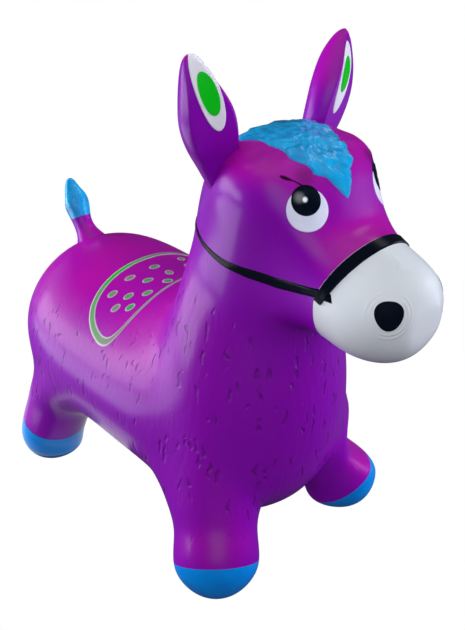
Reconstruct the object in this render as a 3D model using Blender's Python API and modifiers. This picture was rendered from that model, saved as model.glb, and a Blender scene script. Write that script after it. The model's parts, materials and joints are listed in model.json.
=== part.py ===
"""Bouncy ride-on animal: one hollow rubber skin on four legs, with soft neck, ears and tail.

Metres, +Z up. The animal faces +X and its left side is +Y. The floor is z = 0, under the hooves.
The skin is drawn as one coarse cage, smoothed, given its wall, and parted where it flexes.
"""

import math

import bmesh
import bpy
from mathutils import Matrix, Vector

for old_object in list(bpy.data.objects):
    bpy.data.objects.remove(old_object, do_unlink=True)

# Driving sizes
MM = 0.001
TOY_HEIGHT = 500 * MM
WALL = 2.4 * MM
GAP = 0.3 * MM
SEAM_GAP = 1.0 * MM
MERGE = 0.01 * MM
PAINT_THICKNESS = 1.0 * MM
LAYER_GAP = 0.6 * MM
FUR_THICKNESS = 4.0 * MM
STRAP_THICKNESS = 1.6 * MM
SMOOTH_ANGLE = math.radians(60)

# Rings of the body cage, from the rump forward and up the neck to the crown.
# Shares of the toy's height: top x, top z, bottom x, bottom z, half width.
RING_SIDES = 14
BODY_RING_SHARES = (
    (-0.490, 0.390, -0.490, 0.222, 0.102),
    (-0.458, 0.470, -0.456, 0.144, 0.178),
    (-0.384, 0.504, -0.382, 0.102, 0.217),
    (-0.298, 0.506, -0.299, 0.093, 0.230),
    (-0.200, 0.497, -0.206, 0.089, 0.232),
    (-0.080, 0.498, -0.074, 0.078, 0.232),
    (0.000, 0.520, 0.080, 0.066, 0.228),
    (0.014, 0.552, 0.212, 0.072, 0.213),
    (0.020, 0.600, 0.296, 0.176, 0.198),
    (0.026, 0.643, 0.314, 0.349, 0.168),
    (0.033, 0.689, 0.297, 0.468, 0.139),
    (0.040, 0.740, 0.292, 0.550, 0.132),
    (0.060, 0.792, 0.318, 0.640, 0.138),
    (0.099, 0.840, 0.352, 0.744, 0.154),
    (0.158, 0.870, 0.330, 0.821, 0.134),
)
RUMP_POLE_SHARES = (-0.500, 0.300)
CROWN_POLE_SHARES = (0.240, 0.869)
# The smoothing draws a ring of the body in, so its cage is a little large.
CAGE_SWELL_SHARE = 1.035

# Muzzle rings, from the cheeks to the nose: centre x, centre z, half width, half height.
MUZZLE_RING_SHARES = (
    (0.360, 0.648, 0.102, 0.096),
    (0.417, 0.626, 0.107, 0.094),
    (0.473, 0.621, 0.086, 0.081),
    (0.500, 0.624, 0.047, 0.048),
)
MUZZLE_LEAN_DEGREES = (-16, -12, -6, 0)
MUZZLE_FIRST_RING = 11
MUZZLE_LAST_RING = 13
MUZZLE_SIDES = (5, 6, 7, 8)

# Legs: the ball of the hoof, the leg's lean as a share of its rise, and its rings from the top down:
# shares of the toy's height for height and radius, and of the full lean.
FOOT_BALL_HEIGHT = 0.056 * TOY_HEIGHT
FRONT_FOOT_X = 0.226 * TOY_HEIGHT
FRONT_FOOT_Y = 0.191 * TOY_HEIGHT
FRONT_LEAN_X_SHARE = 0.52
FRONT_LEAN_Y_SHARE = 0.44
FRONT_FIRST_RING = 6
REAR_FOOT_X = -0.363 * TOY_HEIGHT
REAR_FOOT_Y = 0.201 * TOY_HEIGHT
REAR_LEAN_X_SHARE = -0.16
REAR_LEAN_Y_SHARE = 0.35
REAR_FIRST_RING = 2
LEG_SIDES = (4, 5)
FRONT_LEG_RING_SHARES = (
    (0.139, 0.089, 1.0),
    (0.109, 0.080, 1.0),
    (0.074, 0.085, 0.9),
    (0.033, 0.085, 0.5),
    (0.000, 0.054, 0.0),
    (0.000, 0.028, 0.0),
)
REAR_LEG_RING_SHARES = (
    (0.16, 0.078, 1.0),
    (0.12, 0.074, 1.0),
    (0.07, 0.074, 0.9),
    (0.03, 0.075, 0.5),
    (0.00, 0.049, 0.0),
    (0.00, 0.022, 0.0),
)

# Neck joint: a ball inside the shoulders, and the muzzle's reach past it
NECK_JOINT_X = 0.156 * TOY_HEIGHT
NECK_JOINT_Z = 0.584 * TOY_HEIGHT
NECK_BALL_RADIUS = 0.176 * TOY_HEIGHT
NECK_CUTTER_PLATE = 5 * MM
NECK_CUTTER_SPREAD = 0.224 * TOY_HEIGHT
JAW_CUTTER_RADIUS = 0.136 * TOY_HEIGHT
JAW_CUTTER_Z = 0.662 * TOY_HEIGHT
LIMB_CUTTER_REACH = 0.52 * TOY_HEIGHT

# Leg joints: a ball in the leg just above the hoof
LEG_JOINT_HEIGHT = 0.088 * TOY_HEIGHT
FRONT_BALL_RADIUS = 0.09 * TOY_HEIGHT
REAR_BALL_RADIUS = 0.083 * TOY_HEIGHT
LEG_CUTTER_PLATE = 12 * MM
LEG_CUTTER_SPREAD = 2.5 * MM
LEG_COLLAR_TURN = math.radians(50)
NECK_COLLAR_TURN = math.radians(40)
COLLAR_OUTER_TURN = math.radians(86)
COLLAR_ROWS = 2
LEG_BALL_STEPS = 16
NECK_BALL_STEPS = 24
SOCKET_STEPS = 12
HOOF_BOX = 0.22 * TOY_HEIGHT

# Muzzle and bridle: one leaning plane behind the white muzzle, the strap lies in front of it
MUZZLE_PLANE_X = 0.393 * TOY_HEIGHT
MUZZLE_PLANE_Z = 0.73 * TOY_HEIGHT
MUZZLE_PLANE_LEAN = math.radians(22.3)
MUZZLE_BOX_UP = 0.14 * TOY_HEIGHT
MUZZLE_BOX_DOWN = 0.224 * TOY_HEIGHT
MUZZLE_BOX_DEEP = 0.24 * TOY_HEIGHT
MUZZLE_BOX_WIDE = 0.32 * TOY_HEIGHT
NOSEBAND_WIDTH = 11 * MM
NOSEBAND_END_Z = 0.656 * TOY_HEIGHT
CHEEK_STRAP_FRONT_X = 0.41 * TOY_HEIGHT
CHEEK_STRAP_REAR_X = -0.04 * TOY_HEIGHT
CHEEK_STRAP_FRONT_Z = 0.658 * TOY_HEIGHT
CHEEK_STRAP_REAR_Z = 0.698 * TOY_HEIGHT
CHEEK_STRAP_FRONT_WIDTH = 8 * MM
CHEEK_STRAP_REAR_WIDTH = 4.5 * MM

# Eyes and nostrils, given on the right side and mirrored
EYE_SPOT = (0.319 * TOY_HEIGHT, -0.083 * TOY_HEIGHT, 0.786 * TOY_HEIGHT)
EYE_FACING = (0.72, -0.55, 0.43)
EYE_RADIUS = 17.3 * MM
PUPIL_SPOT = (0.3132 * TOY_HEIGHT, -0.0808 * TOY_HEIGHT, 0.799 * TOY_HEIGHT)
PUPIL_RADIUS = 12 * MM
LASH_GAP = 0.9 * MM
LASH_WIDTH = 3.3 * MM
LASH_START_SHARE = 0.30
LASH_END_SHARE = 0.50
LASH_SIDES = 6
NOSTRIL_SPOT = (0.481 * TOY_HEIGHT, -0.07 * TOY_HEIGHT, 0.657 * TOY_HEIGHT)
NOSTRIL_FACING = (0.76, -0.62, 0.15)
NOSTRIL_RADIUS = 10.9 * MM
NOSTRIL_LOBE_SHARE = 0.08
FEATURE_SIDES = 16
FEATURE_DEPTH = 24 * MM

# Forelock outline seen from above, from the tip round the left side: shares of its length and half width
FORELOCK_TIP_X = 0.344 * TOY_HEIGHT
FORELOCK_LENGTH = 0.192 * TOY_HEIGHT
FORELOCK_HALF_WIDTH = 0.074 * TOY_HEIGHT
FORELOCK_LOW_Z = 0.68 * TOY_HEIGHT
FORELOCK_OUTLINE_SHARES = (
    (0.00, 0.00),
    (0.05, 0.26),
    (0.13, 0.40),
    (0.18, 0.70),
    (0.25, 0.66),
    (0.33, 0.80),
    (0.40, 1.00),
    (0.50, 0.90),
    (0.62, 1.00),
    (0.74, 0.92),
    (0.92, 0.96),
    (1.00, 0.50),
)

# Saddle cloth edging seen from above, right half: shares of its length and half width
SADDLE_FRONT_X = -0.068 * TOY_HEIGHT
SADDLE_LENGTH = 0.152 * TOY_HEIGHT
SADDLE_HALF_WIDTH = 0.198 * TOY_HEIGHT
SADDLE_LOW_Z = 0.34 * TOY_HEIGHT
SADDLE_INSET_LENGTH_SHARE = 0.86
SADDLE_INSET_WIDTH_SHARE = 0.93
SADDLE_INSET_START_SHARE = 0.045
SADDLE_OUTLINE_SHARES = (
    (0.00, 0.00),
    (0.00, 0.36),
    (0.00, 0.60),
    (0.04, 0.78),
    (0.10, 0.91),
    (0.22, 0.99),
    (0.46, 0.99),
    (0.70, 0.92),
    (0.86, 0.81),
    (0.96, 0.62),
    (1.00, 0.36),
    (0.98, 0.00),
)

# Ears: a ball in the head, and rings of share of length, half width and half depth
EAR_JOINT = (0.158 * TOY_HEIGHT, -0.113 * TOY_HEIGHT, 0.812 * TOY_HEIGHT)
EAR_TIP = (0.162 * TOY_HEIGHT, -0.177 * TOY_HEIGHT, 1.008 * TOY_HEIGHT)
EAR_BALL_RADIUS = 19.3 * MM
EAR_FACING_TURN = math.radians(-22)
# Ear rings from root to tip: share of the ear's length, then shares of the toy's height for the half width,
# the depth of the flat front and the depth of the back
EAR_RING_SHARES = (
    (0.15, 0.027, 0.019, 0.020),
    (0.35, 0.041, 0.027, 0.025),
    (0.50, 0.041, 0.028, 0.027),
    (0.68, 0.030, 0.025, 0.029),
    (0.88, 0.017, 0.012, 0.019),
)
# Section of the ear from the middle of its front round to the back: shares of half width and depth
EAR_SECTION_SHARES = ((0.0, 1.0), (0.85, 0.95), (1.06, 0.10), (0.72, -0.80), (0.0, -1.08))
EAR_POLE_START_SHARE = 0.02
EAR_PATCH_CENTRE_SHARE = 0.60
EAR_WHITE_LENGTH = 70 * MM
EAR_WHITE_WIDTH = 27 * MM
EAR_GREEN_LENGTH = 46 * MM
EAR_GREEN_WIDTH = 16 * MM

# Tail: profile of share of length and radius share, leaning back from its ball
TAIL_JOINT = (-0.424 * TOY_HEIGHT, 0.0, 0.48 * TOY_HEIGHT)
TAIL_LEAN = math.radians(-28)
TAIL_LENGTH = 75 * MM
TAIL_BALL_RADIUS = 12.5 * MM
TAIL_BALL_TURN = math.radians(115)
TAIL_BALL_ROWS = 5
TAIL_STEPS = 14
TAIL_PAINT_LINE_SHARE = 0.38
TAIL_PROFILE_SHARES = (
    (1.00, 0.000),
    (0.985, 0.045),
    (0.94, 0.088),
    (0.84, 0.150),
    (0.70, 0.188),
    (0.58, 0.190),
    (0.44, 0.168),
    (0.30, 0.148),
    (0.18, 0.142),
)

# Valve in the belly: seat, bore and pull-out plug
VALVE_X = -0.244 * TOY_HEIGHT
VALVE_BORE_RADIUS = 3.2 * MM
VALVE_SLEEVE_RADIUS = 5.6 * MM
VALVE_SLEEVE_LENGTH = 10 * MM
VALVE_FLANGE_RADIUS = 9 * MM
VALVE_FLANGE_THICKNESS = 1.6 * MM
VALVE_FLANGE_DROP = 1.0 * MM
PLUG_SHAFT_LENGTH = 8 * MM
PLUG_HEAD_RADIUS = 6.5 * MM
PLUG_HEAD_THICKNESS = 2 * MM
PLUG_TAPER_SHARE = 0.85
VALVE_STEPS = 20

PAINTS = {
    "purple rubber": ((0.23, 0.0, 0.30, 1), 0.30),
    "blue rubber": ((0.0, 0.21, 0.64, 1), 0.30),
    "white rubber": ((0.62, 0.62, 0.66, 1), 0.32),
    "green paint": ((0.0, 0.35, 0.01, 1), 0.35),
    "black paint": ((0.005, 0.005, 0.012, 1), 0.28),
    "valve plastic": ((0.75, 0.75, 0.73, 1), 0.45),
}


def sized(share):
    """A share of the toy's height as a length."""
    return share * TOY_HEIGHT


# Body skin
def cage_ring(top_x, top_z, bottom_x, bottom_z, half_width):
    """Points of one egg-shaped ring, from its top round the left side."""
    top = Vector((sized(top_x), 0, sized(top_z)))
    bottom = Vector((sized(bottom_x), 0, sized(bottom_z)))
    centre = (top + bottom) / 2
    points = []
    for side in range(RING_SIDES):
        turn = math.tau * side / RING_SIDES
        rise = (top - centre) * math.cos(turn)
        spread = Vector((0, sized(half_width) * math.sin(turn), 0))
        points.append(centre + (rise + spread) * CAGE_SWELL_SHARE)
    return points


def ring_swell(sides):
    """How much larger a ring is drawn, so that the smoothing draws it in to its true size."""
    return 6 / (4 + 2 * math.cos(math.tau / sides))


def reshape_cap(vertices, faces, centre, normal, half_width, half_height):
    """Lay an extruded patch flat, with its rim on an ellipse about the centre."""
    patch = set(faces)
    rim = set()
    for face in faces:
        for edge in face.edges:
            if sum(linked in patch for linked in edge.link_faces) == 1:
                rim.update(edge.verts)
    across = Vector((0, 1, 0))
    across = (across - normal * across.dot(normal)).normalized()
    upward = normal.cross(across).normalized()
    middle = sum((vertex.co for vertex in vertices), Vector()) / len(vertices)

    def bearing(vertex):
        offset = vertex.co - middle
        return math.atan2(offset.dot(upward), offset.dot(across))

    ordered = sorted(rim, key=bearing)
    step = math.tau / len(ordered)
    swell = ring_swell(len(ordered))
    drift_sine = sum(math.sin(bearing(vertex) - step * index) for index, vertex in enumerate(ordered))
    drift_cosine = sum(math.cos(bearing(vertex) - step * index) for index, vertex in enumerate(ordered))
    start = math.atan2(drift_sine, drift_cosine)
    reach = sum((vertex.co - middle).length for vertex in ordered) / len(ordered)
    places = {}
    for index, vertex in enumerate(ordered):
        turn = start + step * index
        places[vertex] = (
            centre
            + across * math.cos(turn) * half_width * swell
            + upward * math.sin(turn) * half_height * swell
        )
    for vertex in vertices:
        if vertex in rim:
            continue
        offset = vertex.co - middle
        places[vertex] = (
            centre
            + across * offset.dot(across) / reach * half_width
            + upward * offset.dot(upward) / reach * half_height
        )
    for vertex, place in places.items():
        vertex.co = place


def extrude_patch(cage, faces):
    """Draw a patch of faces out, and return its new vertices and faces."""
    grown = bmesh.ops.extrude_face_region(cage, geom=faces)
    bmesh.ops.delete(cage, geom=faces, context="FACES")
    new_faces = [item for item in grown["geom"] if isinstance(item, bmesh.types.BMFace)]
    new_vertices = [item for item in grown["geom"] if isinstance(item, bmesh.types.BMVert)]
    return new_vertices, new_faces


def leg_point(foot_x, foot_y, lean_x, lean_y, height):
    """A point of the leg's axis: straight down to the floor from the ball of the hoof."""
    rise = max(height - FOOT_BALL_HEIGHT, 0)
    return Vector((foot_x - lean_x * rise, foot_y - lean_y * rise, height))


def build_skin():
    """The whole outer surface of body, neck, head, muzzle and legs."""
    cage = bmesh.new()
    rings = [[cage.verts.new(point) for point in cage_ring(*row)] for row in BODY_RING_SHARES]
    rump = cage.verts.new((sized(RUMP_POLE_SHARES[0]), 0, sized(RUMP_POLE_SHARES[1])))
    crown = cage.verts.new((sized(CROWN_POLE_SHARES[0]), 0, sized(CROWN_POLE_SHARES[1])))
    quads = []
    for ring, following in zip(rings, rings[1:]):
        row = []
        for side in range(RING_SIDES):
            other = (side + 1) % RING_SIDES
            row.append(cage.faces.new((ring[side], ring[other], following[other], following[side])))
        quads.append(row)
    for side in range(RING_SIDES):
        other = (side + 1) % RING_SIDES
        cage.faces.new((rump, rings[0][other], rings[0][side]))
        cage.faces.new((crown, rings[-1][side], rings[-1][other]))

    leg_rows = (
        (FRONT_FIRST_RING, FRONT_FOOT_X, FRONT_FOOT_Y, FRONT_LEAN_X_SHARE, FRONT_LEAN_Y_SHARE, FRONT_LEG_RING_SHARES),
        (REAR_FIRST_RING, REAR_FOOT_X, REAR_FOOT_Y, REAR_LEAN_X_SHARE, REAR_LEAN_Y_SHARE, REAR_LEG_RING_SHARES),
    )
    for first, foot_x, foot_y, lean_x, lean_y, leg_rings in leg_rows:
        for hand in (1, -1):
            sides = LEG_SIDES if hand > 0 else [RING_SIDES - 1 - side for side in LEG_SIDES]
            faces = [quads[row][side] for row in (first, first + 1) for side in sides]
            for height, radius, lean in leg_rings:
                vertices, faces = extrude_patch(cage, faces)
                centre = leg_point(foot_x, foot_y * hand, lean_x, lean_y * hand, sized(height))
                normal = Vector((lean_x * lean, lean_y * hand * lean, -1)).normalized()
                reshape_cap(vertices, faces, centre, normal, sized(radius), sized(radius))

    rows = range(MUZZLE_FIRST_RING, MUZZLE_LAST_RING)
    faces = [quads[row][side] for row in rows for side in MUZZLE_SIDES]
    for (centre_x, centre_z, half_width, half_height), lean in zip(MUZZLE_RING_SHARES, MUZZLE_LEAN_DEGREES):
        vertices, faces = extrude_patch(cage, faces)
        turn = math.radians(lean)
        normal = Vector((math.cos(turn), 0, math.sin(turn)))
        centre = Vector((sized(centre_x), 0, sized(centre_z)))
        reshape_cap(vertices, faces, centre, normal, sized(half_width), sized(half_height))
    bmesh.ops.recalc_face_normals(cage, faces=cage.faces)
    return finish_mesh("skin_cage", cage)


# Scene bookkeeping
parts_collection = bpy.data.collections.new("bouncy_ride_on")
cutter_collection = bpy.data.collections.new("cutters")
bpy.context.scene.collection.children.link(parts_collection)
bpy.context.scene.collection.children.link(cutter_collection)


def finish_mesh(name, shape):
    """Turn a bmesh into a mesh."""
    mesh = bpy.data.meshes.new(name)
    shape.to_mesh(mesh)
    shape.free()
    return mesh


def make_paints():
    """One material for each rubber and paint."""
    paints = {}
    for name, (colour, roughness) in PAINTS.items():
        paint = bpy.data.materials.new(name)
        paint.use_nodes = True
        paint.diffuse_color = colour
        shader = paint.node_tree.nodes["Principled BSDF"]
        shader.inputs["Base Color"].default_value = colour
        shader.inputs["Roughness"].default_value = roughness
        shader.inputs["Metallic"].default_value = 0
        paints[name] = paint
    return paints


paints = make_paints()
up = Vector((0, 0, 1))


def make_part(name, mesh, paint, joint=None):
    """A node of the model, hung from its joint's empty if it moves."""
    part = bpy.data.objects.new(name, mesh.copy())
    parts_collection.objects.link(part)
    part.data.materials.clear()
    part.data.materials.append(paints[paint])
    part.data.shade_smooth()
    part.data.set_sharp_from_angle(angle=SMOOTH_ANGLE)
    if joint:
        part.parent = joint
        part.matrix_parent_inverse = Matrix.Translation(joint.location).inverted()
    return part


def make_cutter(name, mesh):
    """A cutter or a guide, never part of the model."""
    tool = bpy.data.objects.new(name, mesh)
    cutter_collection.objects.link(tool)
    tool.hide_render = True
    tool.display_type = "WIRE"
    return tool


def make_joint(name, place, parent=None):
    """An empty on a joint's axis."""
    joint = bpy.data.objects.new(name, None)
    parts_collection.objects.link(joint)
    joint.location = place
    joint.empty_display_size = WALL
    if parent:
        joint.parent = parent
        joint.matrix_parent_inverse = Matrix.Translation(parent.location).inverted()
    return joint


def combine(part, operation, *tools):
    """Cut, join or intersect with each tool in turn. The exact solver loses pieces of the thin walls."""
    for tool in tools:
        step = part.modifiers.new(tool.name, "BOOLEAN")
        step.operation = operation
        step.solver = "MANIFOLD"
        step.object = tool


def smooth_cage(item):
    """One level of subdivision over the cage, in triangles so that layers share its facets."""
    smooth = item.modifiers.new("smooth", "SUBSURF")
    smooth.levels = 1
    smooth.render_levels = 1
    facets = item.modifiers.new("facets", "TRIANGULATE")
    facets.quad_method = "SHORTEST_DIAGONAL"


def add_wall(item, thickness, offset):
    """Give an open or closed surface its wall."""
    wall = item.modifiers.new("wall", "SOLIDIFY")
    wall.thickness = thickness
    wall.offset = offset
    return wall


def mirrored(point, hand):
    """A point given on the right side, taken to the left when hand is 1."""
    return Vector((point[0], -point[1] * hand, point[2]))


# Tools
def turned(name, profile, steps, place, outward):
    """A turned cutter: a profile of radius and height, run round an axis."""
    line = bmesh.new()
    corners = [line.verts.new((radius, 0, height)) for radius, height in profile]
    for corner, following in zip(corners, corners[1:]):
        line.edges.new((corner, following))
    if profile[0][0] > 0 and profile[-1][0] > 0:
        line.edges.new((corners[-1], corners[0]))
    tool = make_cutter(name, finish_mesh(name, line))
    screw = tool.modifiers.new("turn", "SCREW")
    screw.steps = steps
    screw.render_steps = steps
    screw.use_merge_vertices = True
    screw.merge_threshold = MERGE
    tool.location = place
    tool.rotation_mode = "QUATERNION"
    tool.rotation_quaternion = Vector(outward).to_track_quat("Z", "Y")
    return tool


def arc(radius, start, end, steps):
    """Points of a sphere's profile, with turns measured from its inner pole."""
    points = []
    for step in range(steps + 1):
        turn = start + (end - start) * step / steps
        points.append((max(radius * math.sin(turn), 0.0), -radius * math.cos(turn)))
    return points


def limb_cutter(name, place, outward, radius, plate, spread, steps):
    """The ball of a joint, with all that lies beyond it on the limb's side."""
    ball = arc(radius, math.pi / 2, 0, steps // 4)
    ball[-1] = (0.0, -radius)
    profile = [(0.0, LIMB_CUTTER_REACH), (spread, LIMB_CUTTER_REACH), (spread, plate), (radius, plate)]
    return turned(name, profile + ball, steps, place, outward)


def collar_tool(name, place, outward, radius, inner_turn, steps):
    """The limb's own wall carried on inside the body, as a band of the joint's ball."""
    outer = arc(radius - GAP, COLLAR_OUTER_TURN, inner_turn, COLLAR_ROWS)
    inner = arc(radius - GAP - WALL, inner_turn, COLLAR_OUTER_TURN, COLLAR_ROWS)
    band = turned(name, outer + inner, steps, place, outward)
    combine(band, "INTERSECT", core)
    return band


def box_tool(name, centre, size, forward, upward):
    """A box with its length along forward and its height along upward."""
    shape = bmesh.new()
    bmesh.ops.create_cube(shape, size=1)
    forward = Vector(forward).normalized()
    upward = Vector(upward).normalized()
    across = upward.cross(forward)
    frame = Matrix((forward, across, upward)).transposed().to_4x4()
    scale = Matrix.Diagonal((*size, 1))
    bmesh.ops.transform(shape, matrix=Matrix.Translation(centre) @ frame @ scale, verts=shape.verts)
    return make_cutter(name, finish_mesh(name, shape))


def ball_tool(name, centre, radius, steps):
    """A sphere."""
    shape = bmesh.new()
    bmesh.ops.create_uvsphere(shape, u_segments=steps, v_segments=steps // 2, radius=radius)
    bmesh.ops.translate(shape, verts=shape.verts, vec=Vector(centre))
    return make_cutter(name, finish_mesh(name, shape))


def facing_frame(outward):
    """A frame whose third axis is outward, its first level and its second upward."""
    outward = Vector(outward).normalized()
    across = up.cross(outward)
    if across.length < GAP:
        across = Vector((1, 0, 0))
    across.normalize()
    return Matrix((across, outward.cross(across), outward)).transposed().to_4x4()


def prism_tool(name, outlines, low, high, place=(0, 0, 0), outward=(0, 0, 1)):
    """A straight prism over flat outlines, the second outline being a hole."""
    flat = bpy.data.curves.new(name, "CURVE")
    flat.dimensions = "2D"
    flat.fill_mode = "BOTH"
    flat.extrude = (high - low) / 2
    for outline in outlines:
        line = flat.splines.new("POLY")
        line.points.add(len(outline) - 1)
        line.use_cyclic_u = True
        for point, (along, across) in zip(line.points, outline):
            point.co = (along, across, 0, 1)
    sketch = bpy.data.objects.new(name, flat)
    cutter_collection.objects.link(sketch)
    bpy.context.view_layer.update()
    shape = bmesh.new()
    shape.from_mesh(sketch.evaluated_get(bpy.context.evaluated_depsgraph_get()).to_mesh())
    bpy.data.objects.remove(sketch, do_unlink=True)
    bmesh.ops.remove_doubles(shape, verts=shape.verts, dist=MERGE)
    bmesh.ops.recalc_face_normals(shape, faces=shape.faces)
    frame = facing_frame(outward)
    rise = Matrix.Translation((0, 0, (high + low) / 2))
    bmesh.ops.transform(shape, matrix=Matrix.Translation(place) @ frame @ rise, verts=shape.verts)
    return make_cutter(name, finish_mesh(name, shape))


def round_outline(radius, steps, lobe_share=0.0, start=0.0, end=math.tau):
    """A circle, or a rounded triangle where it has lobes."""
    points = []
    for step in range(steps):
        turn = start + (end - start) * step / steps
        reach = radius * (1 + lobe_share * math.sin(3 * turn))
        points.append((reach * math.cos(turn), reach * math.sin(turn)))
    return points


skin_mesh = build_skin()


def skin_guide(name):
    """The smooth outer surface as a guide."""
    guide = make_cutter(name, skin_mesh.copy())
    smooth_cage(guide)
    return guide


outer_skin = skin_guide("outer_skin")
core = skin_guide("skin_core")
shrink = core.modifiers.new("shrink", "DISPLACE")
shrink.strength = -WALL / 2
shrink.mid_level = 0
bpy.context.view_layer.update()


def surface_mesh(guide):
    """The evaluated surface of a guide as a plain mesh."""
    return bpy.data.meshes.new_from_object(guide.evaluated_get(bpy.context.evaluated_depsgraph_get()))


def skin_part(name, paint, joint=None):
    """A piece of the walled skin, before it is cut out of the whole."""
    part = make_part(name, skin_mesh, paint, joint)
    smooth_cage(part)
    add_wall(part, WALL, -1)
    return part


def surface_patch(name, surface, tool, lift, thickness, paint, joint, centre, reach):
    """A thin layer that follows a surface, inside the outline of a tool."""
    shape = bmesh.new()
    shape.from_mesh(surface)
    shape.normal_update()
    lifts = [(vertex, vertex.co + vertex.normal * lift) for vertex in shape.verts]
    for vertex, place in lifts:
        vertex.co = place
    far = [face for face in shape.faces if (face.calc_center_median() - centre).length > reach]
    bmesh.ops.delete(shape, geom=far, context="FACES")
    part = make_part(name, finish_mesh(name, shape), paint, joint)
    add_wall(part, thickness, 1)
    combine(part, "INTERSECT", tool)
    return part


# Neck and head
neck_place = Vector((NECK_JOINT_X, 0, NECK_JOINT_Z))
neck_joint = make_joint("neck_joint", neck_place)


def head_tool(name, clearance):
    """Everything above the neck joint's ball, with the muzzle."""
    radius = NECK_BALL_RADIUS + clearance
    tool = limb_cutter(
        name, neck_place, up, radius, NECK_CUTTER_PLATE, NECK_CUTTER_SPREAD, NECK_BALL_STEPS
    )
    jaw_place = Vector((NECK_JOINT_X, 0, JAW_CUTTER_Z))
    jaw_profile = [
        (0.0, LIMB_CUTTER_REACH),
        (JAW_CUTTER_RADIUS, LIMB_CUTTER_REACH),
        (JAW_CUTTER_RADIUS, WALL),
        (0.0, WALL),
    ]
    jaw = turned(name + "_jaw", jaw_profile, NECK_BALL_STEPS, jaw_place, (1, 0, 0))
    combine(tool, "UNION", jaw)
    return tool


plane_normal = Vector((math.cos(MUZZLE_PLANE_LEAN), 0, -math.sin(MUZZLE_PLANE_LEAN)))
plane_upward = Vector((math.sin(MUZZLE_PLANE_LEAN), 0, math.cos(MUZZLE_PLANE_LEAN)))
plane_point = Vector((MUZZLE_PLANE_X, 0, MUZZLE_PLANE_Z))


def muzzle_box(name, start, depth, up_reach, down_reach):
    """A box in front of the muzzle's plane, from start to start plus depth."""
    centre = plane_point + plane_normal * (start + depth / 2) + plane_upward * (up_reach - down_reach) / 2
    size = (depth, MUZZLE_BOX_WIDE, up_reach + down_reach)
    return box_tool(name, centre, size, plane_normal, plane_upward)


ear_sockets = []
for hand, side_name in ((-1, "right"), (1, "left")):
    socket_place = mirrored(EAR_JOINT, hand)
    ear_sockets.append(ball_tool("ear_socket_" + side_name, socket_place, EAR_BALL_RADIUS + SEAM_GAP, SOCKET_STEPS))

muzzle_cut = muzzle_box("muzzle_cut", 0, MUZZLE_BOX_DEEP, MUZZLE_BOX_UP, MUZZLE_BOX_DOWN)
muzzle_keep = muzzle_box("muzzle_keep", GAP, MUZZLE_BOX_DEEP, MUZZLE_BOX_UP, MUZZLE_BOX_DOWN)
neck_collar = collar_tool(
    "neck_collar", neck_place, up, NECK_BALL_RADIUS, NECK_COLLAR_TURN, NECK_BALL_STEPS
)

head_skin = skin_part("head_skin", "purple rubber", neck_joint)
combine(head_skin, "INTERSECT", head_tool("head_keep", 0))
combine(head_skin, "UNION", neck_collar)
combine(head_skin, "DIFFERENCE", muzzle_cut, *ear_sockets)
muzzle = skin_part("muzzle", "white rubber", neck_joint)
combine(muzzle, "INTERSECT", muzzle_keep)

skin_surface = surface_mesh(outer_skin)
noseband_down = (MUZZLE_PLANE_Z - NOSEBAND_END_Z) / math.cos(MUZZLE_PLANE_LEAN)
noseband_box = muzzle_box("noseband_box", GAP, NOSEBAND_WIDTH, MUZZLE_BOX_UP, noseband_down)
surface_patch(
    "noseband", skin_surface, noseband_box, GAP, STRAP_THICKNESS, "black paint", neck_joint,
    plane_point, MUZZLE_BOX_DEEP,
)


def cheek_strap_tool():
    """A flat wedge through the cheeks and round the back of the neck."""
    front = Vector((CHEEK_STRAP_FRONT_X, 0, CHEEK_STRAP_FRONT_Z))
    rear = Vector((CHEEK_STRAP_REAR_X, 0, CHEEK_STRAP_REAR_Z))
    run = front - rear
    wedge_size = (run.length, NECK_CUTTER_SPREAD * 2, MUZZLE_BOX_UP)
    tool = box_tool("cheek_strap_wedge", (front + rear) / 2, wedge_size, run, up)
    middle = (front + rear) / 2
    for vertex in tool.data.vertices:
        along = (vertex.co - middle).dot(run.normalized())
        width = CHEEK_STRAP_FRONT_WIDTH if along > 0 else CHEEK_STRAP_REAR_WIDTH
        level = front if along > 0 else rear
        side = 1 if vertex.co.z > middle.z else -1
        vertex.co.z = level.z + side * width / 2
    return tool


cheek_strap = surface_patch(
    "cheek_strap", skin_surface, cheek_strap_tool(), GAP, STRAP_THICKNESS, "black paint", neck_joint,
    neck_place, MUZZLE_BOX_DEEP,
)
strap_cut = muzzle_box("strap_cut", -GAP, MUZZLE_BOX_DEEP, MUZZLE_BOX_UP, MUZZLE_BOX_DOWN)
combine(cheek_strap, "DIFFERENCE", strap_cut)


def mirrored_outline(shares, start_x, length, half_width):
    """A flat outline from its right half, running back from start_x."""
    half = [(start_x - along * length, -across * half_width) for along, across in shares]
    other = [(x, -y) for x, y in reversed(half) if y != 0]
    return half + other


forelock_outline = mirrored_outline(
    FORELOCK_OUTLINE_SHARES, FORELOCK_TIP_X, FORELOCK_LENGTH, FORELOCK_HALF_WIDTH
)
forelock_prism = prism_tool("forelock_prism", [forelock_outline], FORELOCK_LOW_Z, TOY_HEIGHT)
crown_point = Vector((FORELOCK_TIP_X - FORELOCK_LENGTH / 2, 0, EAR_JOINT[2]))
surface_patch(
    "forelock", skin_surface, forelock_prism, GAP, FUR_THICKNESS, "blue rubber", neck_joint,
    crown_point, MUZZLE_BOX_UP,
)

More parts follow.
